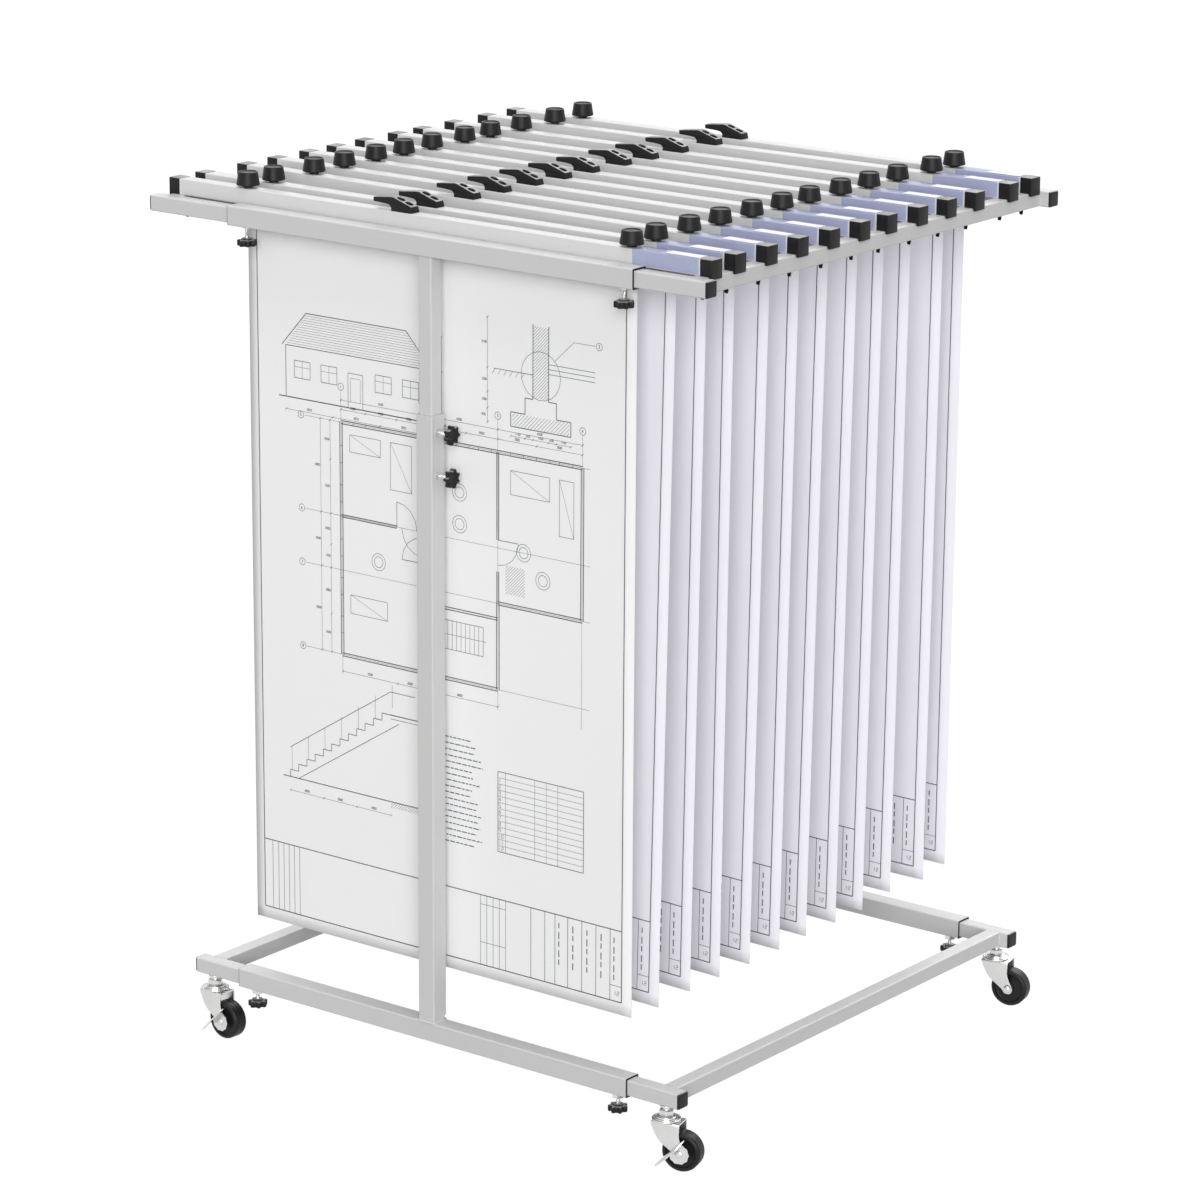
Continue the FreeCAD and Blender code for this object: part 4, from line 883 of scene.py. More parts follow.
@dataclass(frozen=True)
class ClampParts:
    """The pieces of one hanging clamp, about the middle of the beam's underside."""

    length: float = 848.0
    width: float = 20.0
    height: float = 20.0
    wall: float = 1.5
    slot: float = 9.0
    cap_length: float = 17.4
    knob_x: float = 300.0
    handle_toe: float = -29.0
    screw_places: tuple[float, float] = (-41.0, -52.0)
    seat_places: tuple[float, float] = (-38.5, -51.2)
    jaw_end: float = 396.5

    @property
    def beam_end(self) -> float:
        """Where the beam stops and its cap starts."""
        return self.length / 2 - self.cap_length

    def beam_mesh(self) -> Mesh:
        """The beam: a channel's outline with round corners, open below, carried along X."""
        half, slot, top, wall = self.width / 2, self.slot / 2, self.height, self.wall
        inner, ceiling = half - wall, top - wall
        corners = [
            (-slot, 0), (-half, 0), (-half, top), (half, top), (half, 0), (slot, 0),
            (slot, wall), (inner, wall), (inner, ceiling), (-inner, ceiling), (-inner, wall),
            (-slot, wall),
        ]
        reach = [0.3, 1.2, 1.2, 1.2, 1.2, 0.3, 0.3, 0.2, 0.2, 0.2, 0.2, 0.3]
        return made("beam", bar(rounded(corners, reach), X, -self.beam_end, self.beam_end))

    def cap_mesh(self) -> Mesh:
        """The cap on the beam's right end, with a lip that drops outside the cross bar."""
        start, end = self.beam_end, self.length / 2
        inside, lip, top = end - 4.0, -3.2, self.height + 0.5
        side_view = [(start, 0), (inside, 0), (inside, lip), (end, lip), (end, top), (start, top)]
        return made("beam_cap", bar(np.array(side_view, float), Y, -10.5, 10.5), 0.9, 3)

    def jaws_mesh(self) -> Mesh:
        """The two jaws: an outline of flange and leg each, carried along X."""
        outline = [(0.5, -26.5), (2.5, -26.5), (2.5, 1.8), (7.5, 1.8), (7.5, 3.8), (0.5, 3.8)]
        reach = [0.3, 0.5, 0.6, 0.4, 0.4, 0.6]
        end = self.jaw_end
        left, right = (
            bar(rounded([(side * y, z) for y, z in outline], reach, 3), X, -end, end)
            for side in (-1, 1)
        )
        return made("jaws", left + right)

    def grips_mesh(self) -> Mesh:
        """The ends of the grip strip between the jaws' feet: a small black wedge at both ends."""
        corners = [(-2.2, -24.4), (2.2, -24.4), (0.6, -29.6), (-0.6, -29.6)]
        wedge = rounded(corners, [0.8, 0.8, 0.5, 0.5], 3)
        strip = rectangle(1.0, 2.0, 0.3, 2) + np.array([0.0, -24.0])
        left, right = (
            bar(strip, X, end * (self.jaw_end - 4.0), end * (self.jaw_end + 5.0))
            + bar(wedge, X, end * (self.jaw_end + 4.6), end * (self.jaw_end + 8.6))
            for end in (-1, 1)
        )
        return made("grip_ends", left + right, 0.3)

    def knob_mesh(self) -> Mesh:
        """A clamp knob's grip: a tapered head with a dished top, on a short neck."""
        profile = [
            (0.0, 20.2), (6.0, 20.2), (6.0, 23.2), (13.9, 23.25), (14.5, 23.5), (14.7, 24.2),
            (14.5, 25.6), (13.4, 32.0), (12.4, 38.6), (12.2, 39.6), (11.8, 40.1), (11.3, 40.25),
            (10.9, 40.05), (10.4, 39.2), (9.6, 38.5), (6.0, 38.3), (0.0, 38.25),
        ]
        return made("clamp_knob", lathe(profile, 48))

    def knob_screw_mesh(self) -> Mesh:
        """The clamp knob's screw, down into the block."""
        return made("clamp_knob_screw", screw_thread(3.0, 1.0, 4.4, 22.0, 16))

    def block_mesh(self) -> Mesh:
        """The two threaded blocks inside the beam."""
        outline = rectangle(16.4, 8.0, 0.5, 2)
        left, right = (
            bar(outline, X, x - 9.0, x + 9.0).moved(z=8.1) for x in (-self.knob_x, self.knob_x)
        )
        return made("clamp_blocks", left + right)

    def handle_mesh(self) -> Mesh:
        """The lifting handle: its side view carried across the beam, with two oval seats cut in.

        It narrows by up to 18 percent over its lowest 7.
        """
        top = self.height
        corners = [
            (0.0, 0.0), (-1.0, 7.8), (-29.5, 17.0), (-34.0, 16.8), (-61.0, 14.0), (-61.0, 8.6),
            (-46.0, 8.2), (-36.2, 7.2), (-32.2, 4.2), (-32.0, 0.0),
        ]
        side_view = rounded(
            [(self.handle_toe + x, top + rise) for x, rise in corners],
            [0, 0.9, 2.0, 2.0, 0.9, 1.2, 4, 2.4, 2, 0],
        )
        body = bar(side_view, Y, -8.0, 8.0)
        body.points[:, Y] *= 1.0 - 0.18 * np.clip((body.points[:, Z] - top) / 7.0, 0.0, 1.0)
        mesh = raw_mesh("lifting_handle", body)
        seat = bar(rectangle(10.4, 8.0, 3.9, 8), Z, top + 5.2, top + 30.0)
        for x in self.seat_places:
            mesh = carved(mesh, seat.moved(x=x))
        return finished(mesh, 0.4)

    def handle_screws_mesh(self) -> Mesh:
        """The handle's two pan-head screws, each with a shallow drive recess."""
        profile = [
            (0.0, 14.2), (1.9, 14.2), (1.9, 24.0), (3.5, 24.2), (3.6, 25.4), (3.0, 26.1),
            (1.6, 26.4), (1.2, 25.6), (0.0, 25.5),
        ]
        first, second = (lathe(profile, 24).moved(x=x) for x in self.screw_places)
        return made("handle_screws", first + second)

    def label_mesh(self) -> Mesh:
        """The clear label sleeve: a thin inverted U with round corners that hugs the beam."""
        outer, inner, foot, ceiling = 10.8, 10.2, 1.5, 20.2
        top, end = ceiling + 0.6, self.beam_end - 2.0
        corners = [
            (-outer, foot), (-outer, top), (outer, top), (outer, foot),
            (inner, foot), (inner, ceiling), (-inner, ceiling), (-inner, foot),
        ]
        outline = rounded(corners, [0, 1.2, 1.2, 0, 0, 0.6, 0.6, 0], 3)
        return made("label_sleeve", bar(outline, X, end - 96.0, end))

    def strip_mesh(self) -> Mesh:
        """The paper strip in the label sleeve, barely bowed across its width."""
        along, across = np.meshgrid(
            np.linspace(self.beam_end - 52.0, self.beam_end - 2.0, 12),
            np.linspace(-8.0, 8.0, 9),
            indexing="ij",
        )
        upper = np.stack([along, across, 20.85 + 0.25 * (1 - (across / 8.0) ** 2)], -1)
        lower = upper - np.array([0.0, 0.0, 0.2])
        return made("label_strip", tube(np.concatenate([upper, lower[:, ::-1]], axis=1)))


# One row for each clamp, from front to back: how far its right and left ends stray along Y from
# an even row, and its drawing's lift, tilt in degrees and shift aside.
CLAMP_ROWS = (
    (0, 2, -4, 0, -6), (-15, -12, -3, -1.0, 0), (-14, 5, -1, -0.8, 0), (-13, 1, 0, -0.5, 0),
    (-10, 1, -1, -0.85, 0), (-8, -7, 0, -0.8, 0), (-12, -12, 2, -0.95, 0), (-7, -7, 2, -0.8, 0),
    (-5, -17, 2, -0.6, 0), (-4, -13, 10, -0.45, 0), (12, -4, 6, -0.35, 0), (0, -3, 14, -0.2, 0),
)


@dataclass(frozen=True)
class HangingClamps:
    """The twelve clamps, where each one lies across the rack, and their drawings."""

    parts: ClampParts = ClampParts()
    first_y: float = -344.0
    spread: float = 684.0
    seat_z: float = 1105.0

    def placement(self, index: int) -> Matrix:
        """Where a clamp lies: halfway between its ends, turned by their difference."""
        even = self.first_y + self.spread * index / (len(CLAMP_ROWS) - 1)
        right, left = (even + stray for stray in CLAMP_ROWS[index][:2])
        turn = math.degrees(math.atan2(right - left, self.parts.length))
        return place(0.0, (right + left) / 2, self.seat_z, turn)

    def build(self, shop: Workshop) -> None:
        """Puts the twelve clamps in place of their nodes.

        The first clamp has a node for each part and bodies for its knobs; each other clamp is one
        node and one body.
        """
        parts = self.parts
        cap, knob, knob_screw = parts.cap_mesh(), parts.knob_mesh(), parts.knob_screw_mesh()
        before = (
            ("beam", parts.beam_mesh(), CLAMP_COAT, "beam"),
            ("jaws", parts.jaws_mesh(), JAW_METAL, "jaws"),
            ("grip_ends", parts.grips_mesh(), GRIP_RUBBER, "jaws"),
        )
        after = (
            ("handle", parts.handle_mesh(), HANDLE_PLASTIC, "handle"),
            ("handle_screws", parts.handle_screws_mesh(), BLACK_SCREW, "fasteners"),
            ("blocks", parts.block_mesh(), ZINC_PLATE, "fasteners"),
            ("label", parts.label_mesh(), BLUE_FILM, "label_sleeve"),
            ("strip", parts.strip_mesh(), LABEL_PAPER, "papers"),
        )
        for index, (*_, lift, tilt, aside) in enumerate(CLAMP_ROWS):
            clamp, tag = f"hanger_{index + 1:02d}", f"clamp_{index + 1:02d}"
            at = self.placement(index)
            node = clamp if index else f"{clamp}_{{}}"
            for name, mesh, finish, part in before:
                shop.piece(f"{tag}_{name}", mesh, finish, clamp, node.format(part), at)
            for side_name, side in SIDES.items():
                facing = at @ Matrix.Rotation(0.0 if side > 0 else math.pi, 4, "Z")
                caps, turner = node.format("end_caps"), node.format(f"{side_name}_knob")
                shop.piece(f"{tag}_{side_name}_cap", cap, BLACK_PLASTIC, clamp, caps, facing)
                spot = at @ place(side * parts.knob_x, 0.0, 0.0)
                shop.piece(f"{tag}_{side_name}_grip", knob, KNOB_PLASTIC, turner, turner, spot)
                shop.piece(f"{tag}_{side_name}_screw", knob_screw, ZINC_PLATE, turner, turner, spot)
            for name, mesh, finish, part in after:
                shop.piece(f"{tag}_{name}", mesh, finish, clamp, node.format(part), at)
            drawing = DrawingSheet(index, lift, tilt, aside)
            drawing.build(shop, clamp, node.format("papers"), at, f"{tag}_jaws")


# ---------------------------------------------------------------- drawings

# Each figure as a pen line on a field 1 wide and 2 high.
DIGITS = {
    "0": [(0, 0), (1, 0), (1, 2), (0, 2), (0, 0)],
    "1": [(0.5, 0), (0.5, 2)],
    "2": [(0, 0), (1, 0), (1, 1), (0, 1), (0, 2), (1, 2)],
    "3": [(0, 0), (1, 0), (0.4, 1), (1, 1), (1, 2), (0, 2)],
    "4": [(0.8, 2), (0.8, 0), (0, 1.4), (1, 1.4)],
    "5": [(1, 0), (0, 0), (0, 1), (1, 1), (1, 2), (0, 2)],
    "6": [(1, 0), (0, 0.6), (0, 2), (1, 2), (1, 1), (0, 1)],
    "7": [(0, 0), (1, 0), (0.3, 2)],
    "8": [(0, 0), (1, 0), (1, 2), (0, 2), (0, 0), (0, 1), (1, 1)],
    "9": [(1, 1), (0, 1), (0, 0), (1, 0), (1, 1), (0.6, 2)],
}


class Plotter:
    """Collects pen lines on a flat sheet, with X to the right and Y down from an origin."""

    def __init__(self, strokes: list | None = None, x: float = 0.0, y: float = 0.0) -> None:
        """Starts with a blank sheet, or draws on with others' strokes."""
        self.strokes: list[tuple[np.ndarray, float]] = [] if strokes is None else strokes
        self.origin = np.array([x, y])

    def at(self, x: float, y: float) -> Plotter:
        """A plotter for the same sheet whose origin lies at x, y on it."""
        return Plotter(self.strokes, x, y)

    def run(self, points: np.ndarray, pen: float) -> None:
        """A line through an array of points."""
        self.strokes.append((points + self.origin, pen))

    def line(self, *points: tuple[float, float], pen: float = 0.55, closed: bool = False) -> None:
        """A line through points."""
        self.run(np.array(points + (points[:1] if closed else ()), float), pen)

    def box(self, x: float, y: float, wide: float, tall: float, pen: float = 0.55) -> None:
        """A rectangle from its upper left corner."""
        corners = (x, y), (x + wide, y), (x + wide, y + tall), (x, y + tall)
        self.line(*corners, pen=pen, closed=True)

    def arc(
        self, x: float, y: float, radius: float, start: float = 0.0, sweep: float = 360.0,
        pen: float = 0.45,
    ) -> None:
        """Part of a circle about x, y, in degrees."""
        turn = np.radians(np.linspace(start, start + sweep, max(int(abs(sweep) / 18), 3)))
        self.run(polar(radius, turn, 0.0)[:, :2] + np.array([x, y]), pen)

    def figures(self, text: str, x: float, y: float, tall: float = 3.2, pen: float = 0.45) -> None:
        """Plain figures from their upper left corner."""
        for step, digit in enumerate(text):
            run = np.array(DIGITS[digit], float) * tall / 2
            self.run(run * np.array([1.1, 1.0]) + np.array([x + step * tall * 0.8, y]), pen)

    def wall(self, *points: tuple[float, float], thick: float = 4.0) -> None:
        """A wall: two heavy lines side by side along each run."""
        for start, stop in zip(np.array(points, float), np.array(points[1:], float)):
            wide, tall = stop - start
            across = np.array([-tall, wide]) / math.hypot(wide, tall) * thick / 2
            for side in (-1, 1):
                self.run(np.array([start, stop]) + side * across, 0.9)

    def dimension(self, x: float, y: float, spans: list[float], down: bool = False) -> None:
        """A chain of dimensions with slanted ticks and a plain figure over each span."""
        at, total = 0.0, sum(spans)
        self.line((x, y), (x, y + total) if down else (x + total, y), pen=0.35)
        for index, span in enumerate([*spans, 0.0]):
            left, top = (x, y + at) if down else (x + at, y)
            self.line((left - 1.6, top + 1.6), (left + 1.6, top - 1.6), pen=0.5)
            if index < len(spans):
                spot = (x - 9.0, top + span / 2 - 1.4) if down else (left + span / 2 - 4.0, y - 5.0)
                self.figures(f"{int(span * 50)}", *spot, tall=2.6, pen=0.4)
            at += span

    def bubble(self, x: float, y: float, text: str) -> None:
        """A grid mark: a circle with a plain number in it."""
        self.arc(x, y, 4.6)
        self.figures(text, x - 1.2 * len(text), y - 1.8, 3.4)

    def hatch(self, x: float, y: float, wide: float, tall: float, step: float = 3.0) -> None:
        """Slanted lines over a rectangle."""
        foot = y + tall
        for start in np.arange(-tall + step, wide, step):
            low, high = max(start, 0.0), min(start + tall, wide)
            self.line((x + low, foot - (low - start)), (x + high, foot - (high - start)), pen=0.3)

    def ruled(self, x: float, y: float, width: float, rows: int, step: float, seed: int) -> None:
        """Rows of short plain dashes in the place of notes."""
        dice = np.random.default_rng(seed)
        for row in range(rows):
            at, level = 0.0, y + row * step
            limit = width * dice.uniform(0.7, 1.0)
            while at < limit:
                dash = dice.uniform(3.0, 9.0)
                self.line((x + at, level), (x + min(at + dash, limit), level), pen=1.0)
                at += dash + 1.6

    def table(self, x: float, y: float, columns: list[float], rows: int, step: float) -> None:
        """A ruled table with plain figures in its first column."""
        wide, tall = sum(columns), rows * step
        self.box(x, y, wide, tall, pen=0.7)
        for row in range(1, rows):
            level = y + row * step
            self.line((x, level), (x + wide, level), pen=0.35)
            self.figures(str(row), x + 1.6, level + 1.2, step - 3.0, 0.4)
        for at in x + np.cumsum(columns[:-1]):
            self.line((at, y), (at, y + tall), pen=0.35)

    def strips(self, longest: float = 30.0, weight: float = 1.4) -> tuple[np.ndarray, list]:
        """Every line as flat strips, cut where they are longer than the given run.

        Args:
            longest: The longest run of one strip.
            weight: How much wider than its pen each line prints.

        Returns:
            Strip corners on the sheet and the faces that join them: for a run from a to b and a
            pen of width w, the corners are a and b moved w/2 to either side of the run.
        """
        starts, stops, pens = [], [], []
        for run, pen in self.strokes:
            for a, b in zip(run[:-1], run[1:]):
                cuts = max(int(math.ceil(np.linalg.norm(b - a) / longest)), 1)
                spots = a + (b - a) * np.linspace(0.0, 1.0, cuts + 1)[:, None]
                starts.append(spots[:-1])
                stops.append(spots[1:])
                pens.append(np.full(cuts, pen * weight))
        start, stop, pen = (np.concatenate(part) for part in (starts, stops, pens))
        run = stop - start
        length = np.maximum(np.linalg.norm(run, axis=1), 1e-9)[:, None]
        across = np.stack([-run[:, 1], run[:, 0]], 1) / length * pen[:, None] / 2
        corners = np.stack([start - across, stop - across, stop + across, start + across], 1)
        return corners.reshape(-1, 2), np.arange(len(start) * 4).reshape(-1, 4).tolist()


@dataclass(frozen=True)
class DrawingSheet:
    """A hanging drawing: a limp sheet gripped along its top edge, and the lines printed on it."""

    index: int
    lift: float
    tilt: float
    aside: float
    width: float = 609.6
    length: float = 914.4
    thickness: float = 0.2
    shift: float = 10.0
    grip: float = 8.0
    jaw_depth: float = 26.5
    ink_gap: float = 0.12

    def surface(self, across: np.ndarray, down: np.ndarray, out: float) -> np.ndarray:
        """Points of the sheet in the clamp's frame.

        Args:
            across: Distance from the left edge.
            down: Distance from the top edge.
            out: Distance in front of the sheet's middle.

        Returns:
            A flat sheet with a slow wave that grows with the square of the way down, about a
            millimetre deep, whose phase differs from sheet to sheet. It is turned by the tilt
            and set back so that its lower right corner stays where it is.
        """
        x = across - self.width / 2
        way = np.clip((down - self.grip) / (self.length - self.grip), 0.0, 1.0)
        phase = 1.7 * self.index
        wave = 0.6 * np.sin(x / self.width * 2 * np.pi * 1.25 + phase)
        curl = 0.8 * np.sin(x / self.width * np.pi + 0.6 * phase)
        cos, sin = math.cos(math.radians(self.tilt)), math.sin(math.radians(self.tilt))
        grip_x = self.shift + self.aside - self.length * sin
        grip_z = self.grip - self.jaw_depth + self.lift - self.width / 2 * sin
        turned_x, turned_z = x * cos + down * sin, x * sin - down * cos
        return np.stack([turned_x + grip_x, way**2 * (wave + curl) - out, turned_z + grip_z], -1)

    def sheet_mesh(self) -> Mesh:
        """The sheet's middle surface as a grid."""
        across, down = np.meshgrid(np.linspace(0, self.width, 41), np.linspace(0, self.length, 61))
        return made("drawing_sheet", grid(self.surface(across, down, 0.0)), closed=False)

    def print_mesh(self, plot: Plotter, out: float) -> Mesh:
        """The printed lines as strips that follow the sheet, in front of it or behind it."""
        corners, faces = plot.strips()
        if out < 0:
            faces = [face[::-1] for face in faces]
        mesh = bpy.data.meshes.new("printed_lines")
        mesh.from_pydata((self.surface(*corners.T, out) * MM).tolist(), [], faces)
        return finished(mesh)

    def build(self, shop: Workshop, body: str, node: str, at: Matrix, held_by: str) -> None:
        """Hangs the sheet in its clamp."""
        name = f"drawing_{self.index + 1:02d}"
        # Every sheet behind the first takes the paper with the painted lavender shade tint.
        finish = SHADED_PAPER if self.index else WHITE_PAPER
        sheet = shop.piece(name, self.sheet_mesh(), finish, body, node, at)
        thick = sheet.modifiers.new("thickness", "SOLIDIFY")
        thick.thickness = self.thickness * MM
        thick.offset = 0.0
        plot = Plotter()
        draw_border(plot, self.width, self.length)
        CONTENTS[self.index % len(CONTENTS)](plot)
        reach = self.thickness / 2 + self.ink_gap
        front, back = (
            shop.piece(f"{name}_{label}", self.print_mesh(plot, side * reach), ink, body, node, at)
            for label, side, ink in (("print", 1, PRINT_INK), ("reverse", -1, SHOW_THROUGH))
        )


def draw_border(plot: Plotter, width: float, length: float) -> None:
    """The sheet's border, the strip along its foot and the plain boxes at both its ends."""
    left, right, foot = 14.0, width - 15.5, length - 16.0
    strip = foot - 92.0
    plot.line((left, 0.5), (left, foot), (right, foot), (right, 0.5), pen=1.0)
    plot.line((left, strip), (right, strip), pen=0.9)
    columns = [(left + x, 0.5) for x in (14.0, 24.0, 33.0, 42.0, 51.0, 60.0)]
    columns += [(right - x, 0.6) for x in (18.0, 40.0, 62.0, 84.0, 104.0, 120.0, 142.0)]
    columns += [(right - x, 0.45) for x in (182.0, 192.0, 202.0, 212.0, 222.0)]
    for x, pen in columns:
        plot.line((x, strip), (x, foot), pen=pen)
    plot.line((right - 18.0, foot - 20.0), (right, foot - 20.0), pen=0.5)
    for y in (strip + 12.0, foot - 30.0):
        plot.line((right - 222.0, y), (right - 182.0, y), pen=0.45)
    for index, row in product(range(5), range(5)):
        x, y = right - (12.0, 32.0, 54.0, 76.0, 98.0)[index], strip + 10.0 + row * 12.0
        plot.line((x, y), (x, y + 7.0 + 2.0 * ((row + index) % 2)), pen=1.1)
    plot.figures("12", right - 11.0, foot - 13.0, 5.0)


def draw_ground_plan(plot: Plotter) -> None:
    """The ground floor of a small workshop: walls, doors, windows, stair, benches and grid."""
    wide, tall, door = 380.0, 300.0, 32.0
    plot.wall((0, 0), (wide, 0), (wide, 190), (250, 190), (250, tall), (0, tall), (0, 0))
    for x0, y0, x1, y1 in (
        (130, 0, 130, 120), (0, 120, 90, 120), (130, 160, 130, tall),
        (250, 0, 250, 110), (250, 150, 250, 190), (130, 210, 250, 210),
    ):
        plot.wall((x0, y0), (x1, y1), thick=3.0)
    for x, y, start in ((90, 120, 270), (130, 120, 90), (250, 110, 0), (130, 160, 180)):
        plot.arc(x, y, door, start, 90)
        turn = math.radians(start)
        plot.line((x, y), (x + door * math.cos(turn), y + door * math.sin(turn)), pen=0.6)
    for x in range(150, 234, 7):
        plot.line((x, 225), (x, 262), pen=0.4)
    plot.box(150, 225, 77, 37, 0.5)
    plot.line((150, 243), (232, 243), pen=0.4)
    for x in (20, 150, 185, 220, 270, 310, 345):
        plot.box(x, -2, 20, 4, 0.45)
    for y in (30, 80, 150, 200, 250):
        plot.box(-2, y, 4, 22, 0.45)
    for x, y, width, depth in (
        (14, 14, 50, 22), (80, 14, 34, 60), (270, 20, 60, 30), (345, 20, 22, 70), (14, 220, 60, 24),
    ):
        plot.box(x, y, width, depth, 0.45)
        plot.line((x, y), (x + width, y + depth), pen=0.3)
    for x, y in ((290, 120), (320, 150), (60, 170), (190, 60), (190, 100)):
        plot.arc(x, y, 11.0)
        plot.arc(x, y, 7.0)
    plot.hatch(262, 140, 30, 36, 4.0)
    for mark, x in enumerate((0.0, 130.0, 250.0, 380.0), 1):
        plot.line((x, -40), (x, tall + 26), pen=0.3)
        plot.bubble(x, -45, str(mark))
    for mark, y in enumerate((0.0, 120.0, 190.0, 300.0), 5):
        plot.line((-60, y), (wide + 12, y), pen=0.3)
        plot.bubble(-66, y, str(mark))
    plot.dimension(0, -28, [130.0, 120.0, 130.0])
    plot.dimension(0, -16, [40.0, 50.0, 40.0, 70.0, 50.0, 60.0, 70.0])
    plot.dimension(-34, 0, [120.0, 70.0, 110.0], down=True)
    plot.dimension(-18, 0, [50.0, 70.0, 40.0, 30.0, 60.0, 50.0], down=True)
    plot.dimension(0, tall + 22, [90.0, 40.0, 120.0])


def draw_elevation(plot: Plotter, scale: float = 1.35) -> None:
    """The front of a gabled building with door, windows and a ruled roof."""
    wide, wall, ridge, hip = 230.0 * scale, 66.0 * scale, 44.0 * scale, 34.0 * scale
    foot = wall + ridge
    plot.line((-12, foot), (wide + 12, foot), pen=1.0)
    plot.line((0, foot), (0, ridge), (wide, ridge), (wide, foot), pen=0.7)
    plot.line((-6, ridge), (hip, 0), (wide - hip, 0), (wide + 6, ridge), pen=0.8)
    for step in range(1, 14):
        share = step / 14
        inset = hip * (1 - share)
        plot.line((inset, ridge * share), (wide - inset, ridge * share), pen=0.28)
    for index in range(5):
        left = (14 + index * 44) * scale
        if index == 2:
            plot.box(left, ridge + 22 * scale, 24 * scale, 44 * scale, 0.55)
            plot.box(left + 4, ridge + 28 * scale, 24 * scale - 8, 30 * scale, 0.35)
            continue
        top, middle, bar_y = ridge + 18 * scale, left + 13 * scale, ridge + 26 * scale
        plot.box(left, top, 26 * scale, 22 * scale, 0.55)
        plot.line((middle, top), (middle, ridge + 40 * scale), pen=0.35)
        plot.line((left, bar_y), (left + 26 * scale, bar_y), pen=0.35)
    plot.dimension(wide + 22, 0, [ridge, wall], down=True)
    plot.dimension(0, foot + 16, [wide / 3] * 3)


def draw_footing(plot: Plotter) -> None:
    """A wall's footing in section: stepped base, hatched wall, floor slab and levels."""
    plot.line((0, 130), (0, 112), (22, 112), (22, 92), (34, 92), (34, 0), pen=0.8)
    plot.line((92, 130), (92, 112), (70, 112), (70, 92), (58, 92), (58, 0), pen=0.8)
    plot.line((0, 130), (92, 130), pen=0.8)
    plot.hatch(34, 2, 24, 88, 4.0)
    plot.hatch(2, 113, 88, 16, 5.0)
    for y in (46, 52, 58):
        plot.line((58, y), (128, y), pen=0.5)
    plot.line((-26, 62), (34, 62), pen=0.6)
    for x in range(-24, 30, 9):
        plot.line((x, 62), (x - 5, 69), pen=0.35)
    plot.dimension(0, 142, [22.0, 12.0, 24.0, 12.0, 22.0])
    plot.dimension(-36, 0, [62.0, 30.0, 20.0, 18.0], down=True)
    plot.arc(46, 62, 30.0)
    plot.line((67, 41), (96, 14), (128, 14), pen=0.4)
    plot.bubble(134, 14, "3")


def draw_stair_section(plot: Plotter) -> None:
    """A stair in section with its treads, handrail and two floors."""
    run, rise, count, rail = 14.0, 9.5, 12, 30
    wide, tall = run * count, rise * count
    end = wide + 50
    spots = [(0, tall)]
    for step in range(count):
        level = rise * (count - step - 1)
        spots += [(run * step, level), (run * (step + 1), level)]
    plot.line(*spots, pen=0.7)
    plot.line((run, tall), (wide + run, rise), pen=0.6)
    plot.line((-12, tall), (end, tall), pen=0.9)
    plot.line((wide, 0), (end, 0), pen=0.9)
    plot.line((wide, 5), (end, 5), pen=0.5)
    plot.line((0, tall - rise - rail), (wide, -rail), (wide + 40, -rail), pen=0.6)
    for step in range(0, count + 1, 2):
        x, top = run * step + 3, rise * (count - 1 - step)
        plot.line((x, top), (x, top - rail), pen=0.35)
    plot.hatch(wide, tall, 50, 8, 4.0)
    plot.dimension(0, tall + 18, [run * 4] * 3)
    plot.dimension(wide + 64, 0, [rise * 4] * 3, down=True)


def draw_site(plot: Plotter) -> None:
    """A plot of land with contours, a building, a drive and round trees."""
    corners = (0, 20), (210, 0), (430, 34), (452, 330), (250, 440), (16, 400)
    plot.line(*corners, pen=0.9, closed=True)
    along = np.linspace(0.0, 1.0, 22)
    for level in range(9):
        sway = 18 * np.sin(along * 5 + 0.35 * level) + 10 * along * level / 3
        plot.run(np.stack([20 + 400 * along, 60 + 38 * level + sway], 1), 0.35)
    plot.box(150, 150, 120, 84, 0.9)
    plot.box(156, 156, 108, 72, 0.4)
    plot.box(270, 176, 54, 58, 0.8)
    plot.hatch(151, 151, 118, 82, 8.0)
    for radius in (120.0, 144.0):
        plot.arc(250, 440, radius, 200.0, 70.0, 0.5)
    dice = np.random.default_rng(21)
    for x, y in dice.uniform((30, 60), (400, 360), (26, 2)):
        if 130 < x < 340 and 130 < y < 250:
            continue
        plot.arc(x, y, 6 + x % 7)
        plot.arc(x, y, 1.2)
    for index in range(4):
        y = 40 + 100 * index
        plot.bubble(-30, y, str(index + 1))
        plot.line((-25, y), (450, y), pen=0.25)
    plot.dimension(20, 462, [110.0, 110.0, 110.0])


def draw_plan_sheet(plot: Plotter) -> None:
    """A ground plan with details, a table and notes."""
    draw_ground_plan(plot.at(150.0, 235.0))
    draw_elevation(plot.at(60.0, 105.0), 1.0)
    draw_footing(plot.at(420.0, 70.0))
    draw_stair_section(plot.at(60.0, 600.0))
    plot.table(400.0, 640.0, [12.0, 46.0, 18.0, 18.0, 40.0], 13, 8.0)
    plot.ruled(300.0, 610.0, 80.0, 18, 8.0, 3)


def draw_elevation_sheet(plot: Plotter) -> None:
    """Two elevations with details and notes."""
    draw_elevation(plot.at(70.0, 130.0))
    draw_elevation(plot.at(70.0, 370.0))
    draw_stair_section(plot.at(60.0, 560.0))
    draw_footing(plot.at(400.0, 120.0))
    draw_footing(plot.at(400.0, 330.0))
    plot.ruled(400.0, 560.0, 150.0, 20, 9.0, 5)


def draw_site_sheet(plot: Plotter) -> None:
    """A plan of the land with a footing, a table and notes."""
    draw_site(plot.at(80.0, 90.0))
    draw_footing(plot.at(70.0, 590.0))
    plot.table(300.0, 600.0, [12.0, 60.0, 30.0, 30.0], 16, 8.5)
    plot.ruled(460.0, 600.0, 90.0, 18, 8.5, 9)


CONTENTS = (draw_plan_sheet, draw_elevation_sheet, draw_site_sheet)


# ---------------------------------------------------------------- studio

FLOOR_REACH = 40000.0


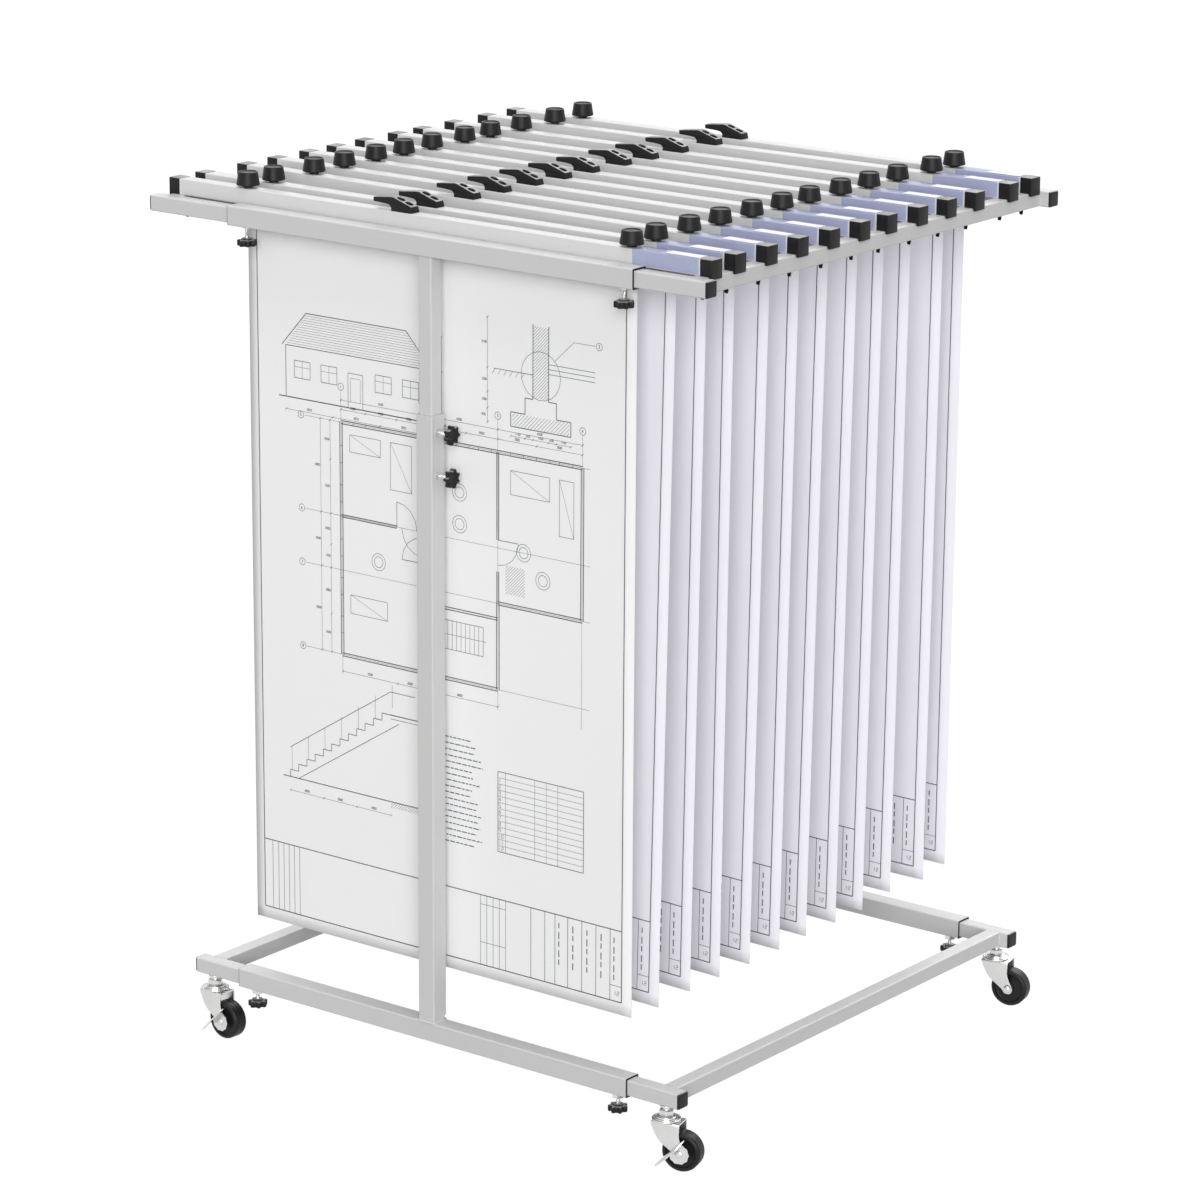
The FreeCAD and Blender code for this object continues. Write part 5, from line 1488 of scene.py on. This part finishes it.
def seen_directly(net: Net) -> Socket:
    """1 for what the camera, a reflection or a clear film shows, and 0 for light on the object."""
    path = net.add("LightPath").outputs
    both = net.sums("ADD", path["Is Camera Ray"], path["Is Glossy Ray"])
    return net.sums("ADD", both, path["Is Transmission Ray"])


@dataclass(frozen=True)
class Studio:
    """The floor, the light and the camera; each lamp is (name, power, softness, source)."""

    lens: float = 138.6214
    sensor: float = 36.0
    azimuth: float = 37.4441
    elevation: float = 15.4692
    roll: float = 0.3693
    camera: Colour = (3.50166, -4.5813, 2.16625)
    sky: float = 0.34
    floor_white: float = 0.88
    lamps: tuple[tuple[str, float, float, Colour], ...] = (
        ("soft_sun", 1.15, 35.0, (0.06, -0.15, 0.98)),
        ("soft_fill", 2.08, 40.0, (0.59, -0.76, 0.27)),
        ("soft_back", 1.6, 40.0, (-0.15, 0.70, 0.70)),
    )

    def build(self) -> None:
        """Makes the floor, the world, the three lamps and the camera."""
        self._add_floor()
        self._light_world()
        for lamp in self.lamps:
            self._add_lamp(*lamp)
        self._add_camera()
        bpy.context.scene.view_settings.view_transform = "Standard"

    def _add_floor(self) -> None:
        """A wide pale floor that shows near white and keeps a light shadow."""
        side = np.array([-FLOOR_REACH, FLOOR_REACH])
        flat = np.stack([*np.meshgrid(side, side), np.zeros((2, 2))], -1)
        mesh = raw_mesh("studio_floor", grid(flat), closed=False)
        floor = bpy.data.objects.new("studio_floor", mesh)
        bpy.context.scene.collection.objects.link(floor)
        material = bpy.data.materials.new("studio_white")
        material.use_nodes = True
        net = Net(material.node_tree)
        matt = {"Base Color": (0.28, 0.28, 0.28, 1.0), "Roughness": 0.9, "Specular IOR Level": 0.1}
        shade = net.wire(net.nodes["Principled BSDF"], matt).outputs[0]
        glow = net.add("Emission", {"Strength": 1.12}).outputs[0]
        share = net.sums("MULTIPLY", seen_directly(net), self.floor_white)
        mix = net.add("MixShader", {"Fac": share, 1: shade, 2: glow})
        net.wire(net.nodes["Material Output"], {"Surface": mix.outputs[0]})
        floor.data.materials.append(material)

    def _light_world(self) -> None:
        """An even pale sky: full white where it is seen, softer as light."""
        world = bpy.data.worlds.new("studio_sky")
        world.use_nodes = True
        net = Net(world.node_tree)
        levels = {"To Min": self.sky, "To Max": 1.0, "Value": seen_directly(net)}
        strength = net.add("MapRange", levels).outputs["Result"]
        net.wire(net.nodes["Background"], {"Color": (1.0, 1.0, 1.0, 1.0), "Strength": strength})
        bpy.context.scene.world = world

    @staticmethod
    def _add_lamp(name: str, power: float, soft: float, source: Colour) -> None:
        """A broad lamp from far away that fills soft degrees of the sky and shines from source."""
        lamp = bpy.data.lights.new(name, "SUN")
        lamp.energy, lamp.angle = power, math.radians(soft)
        sun = bpy.data.objects.new(name, lamp)
        sun.matrix_world = Vector(source).to_track_quat("Z", "Y").to_matrix().to_4x4()
        bpy.context.scene.collection.objects.link(sun)

    def _add_camera(self) -> None:
        """The camera: level axes turned by azimuth, elevation and a slight roll."""
        lens = bpy.data.cameras.new("camera")
        lens.lens, lens.sensor_width, lens.sensor_fit = self.lens, self.sensor, "HORIZONTAL"
        lens.clip_end = 200.0
        camera = bpy.data.objects.new("camera", lens)
        around = Matrix.Rotation(math.radians(self.azimuth), 4, "Z")
        nod = Matrix.Rotation(math.radians(90.0 - self.elevation), 4, "X")
        tilt = Matrix.Rotation(math.radians(self.roll), 4, "Z")
        camera.matrix_world = Matrix.Translation(self.camera) @ around @ nod @ tilt
        bpy.context.scene.collection.objects.link(camera)
        bpy.context.scene.camera = camera


def main() -> None:
    """Builds the studio, then each sub-assembly in turn."""
    logging.basicConfig(level=logging.INFO, format="%(message)s")
    Studio().build()
    shop = Workshop()
    fixed = Frame()
    fixed.build(shop)
    StarKnob().build(shop, fixed)
    Caster().build(shop, fixed)
    HangingClamps().build(shop)
    logger.info("%d new pieces", shop.count)


if __name__ == "__main__":
    main()
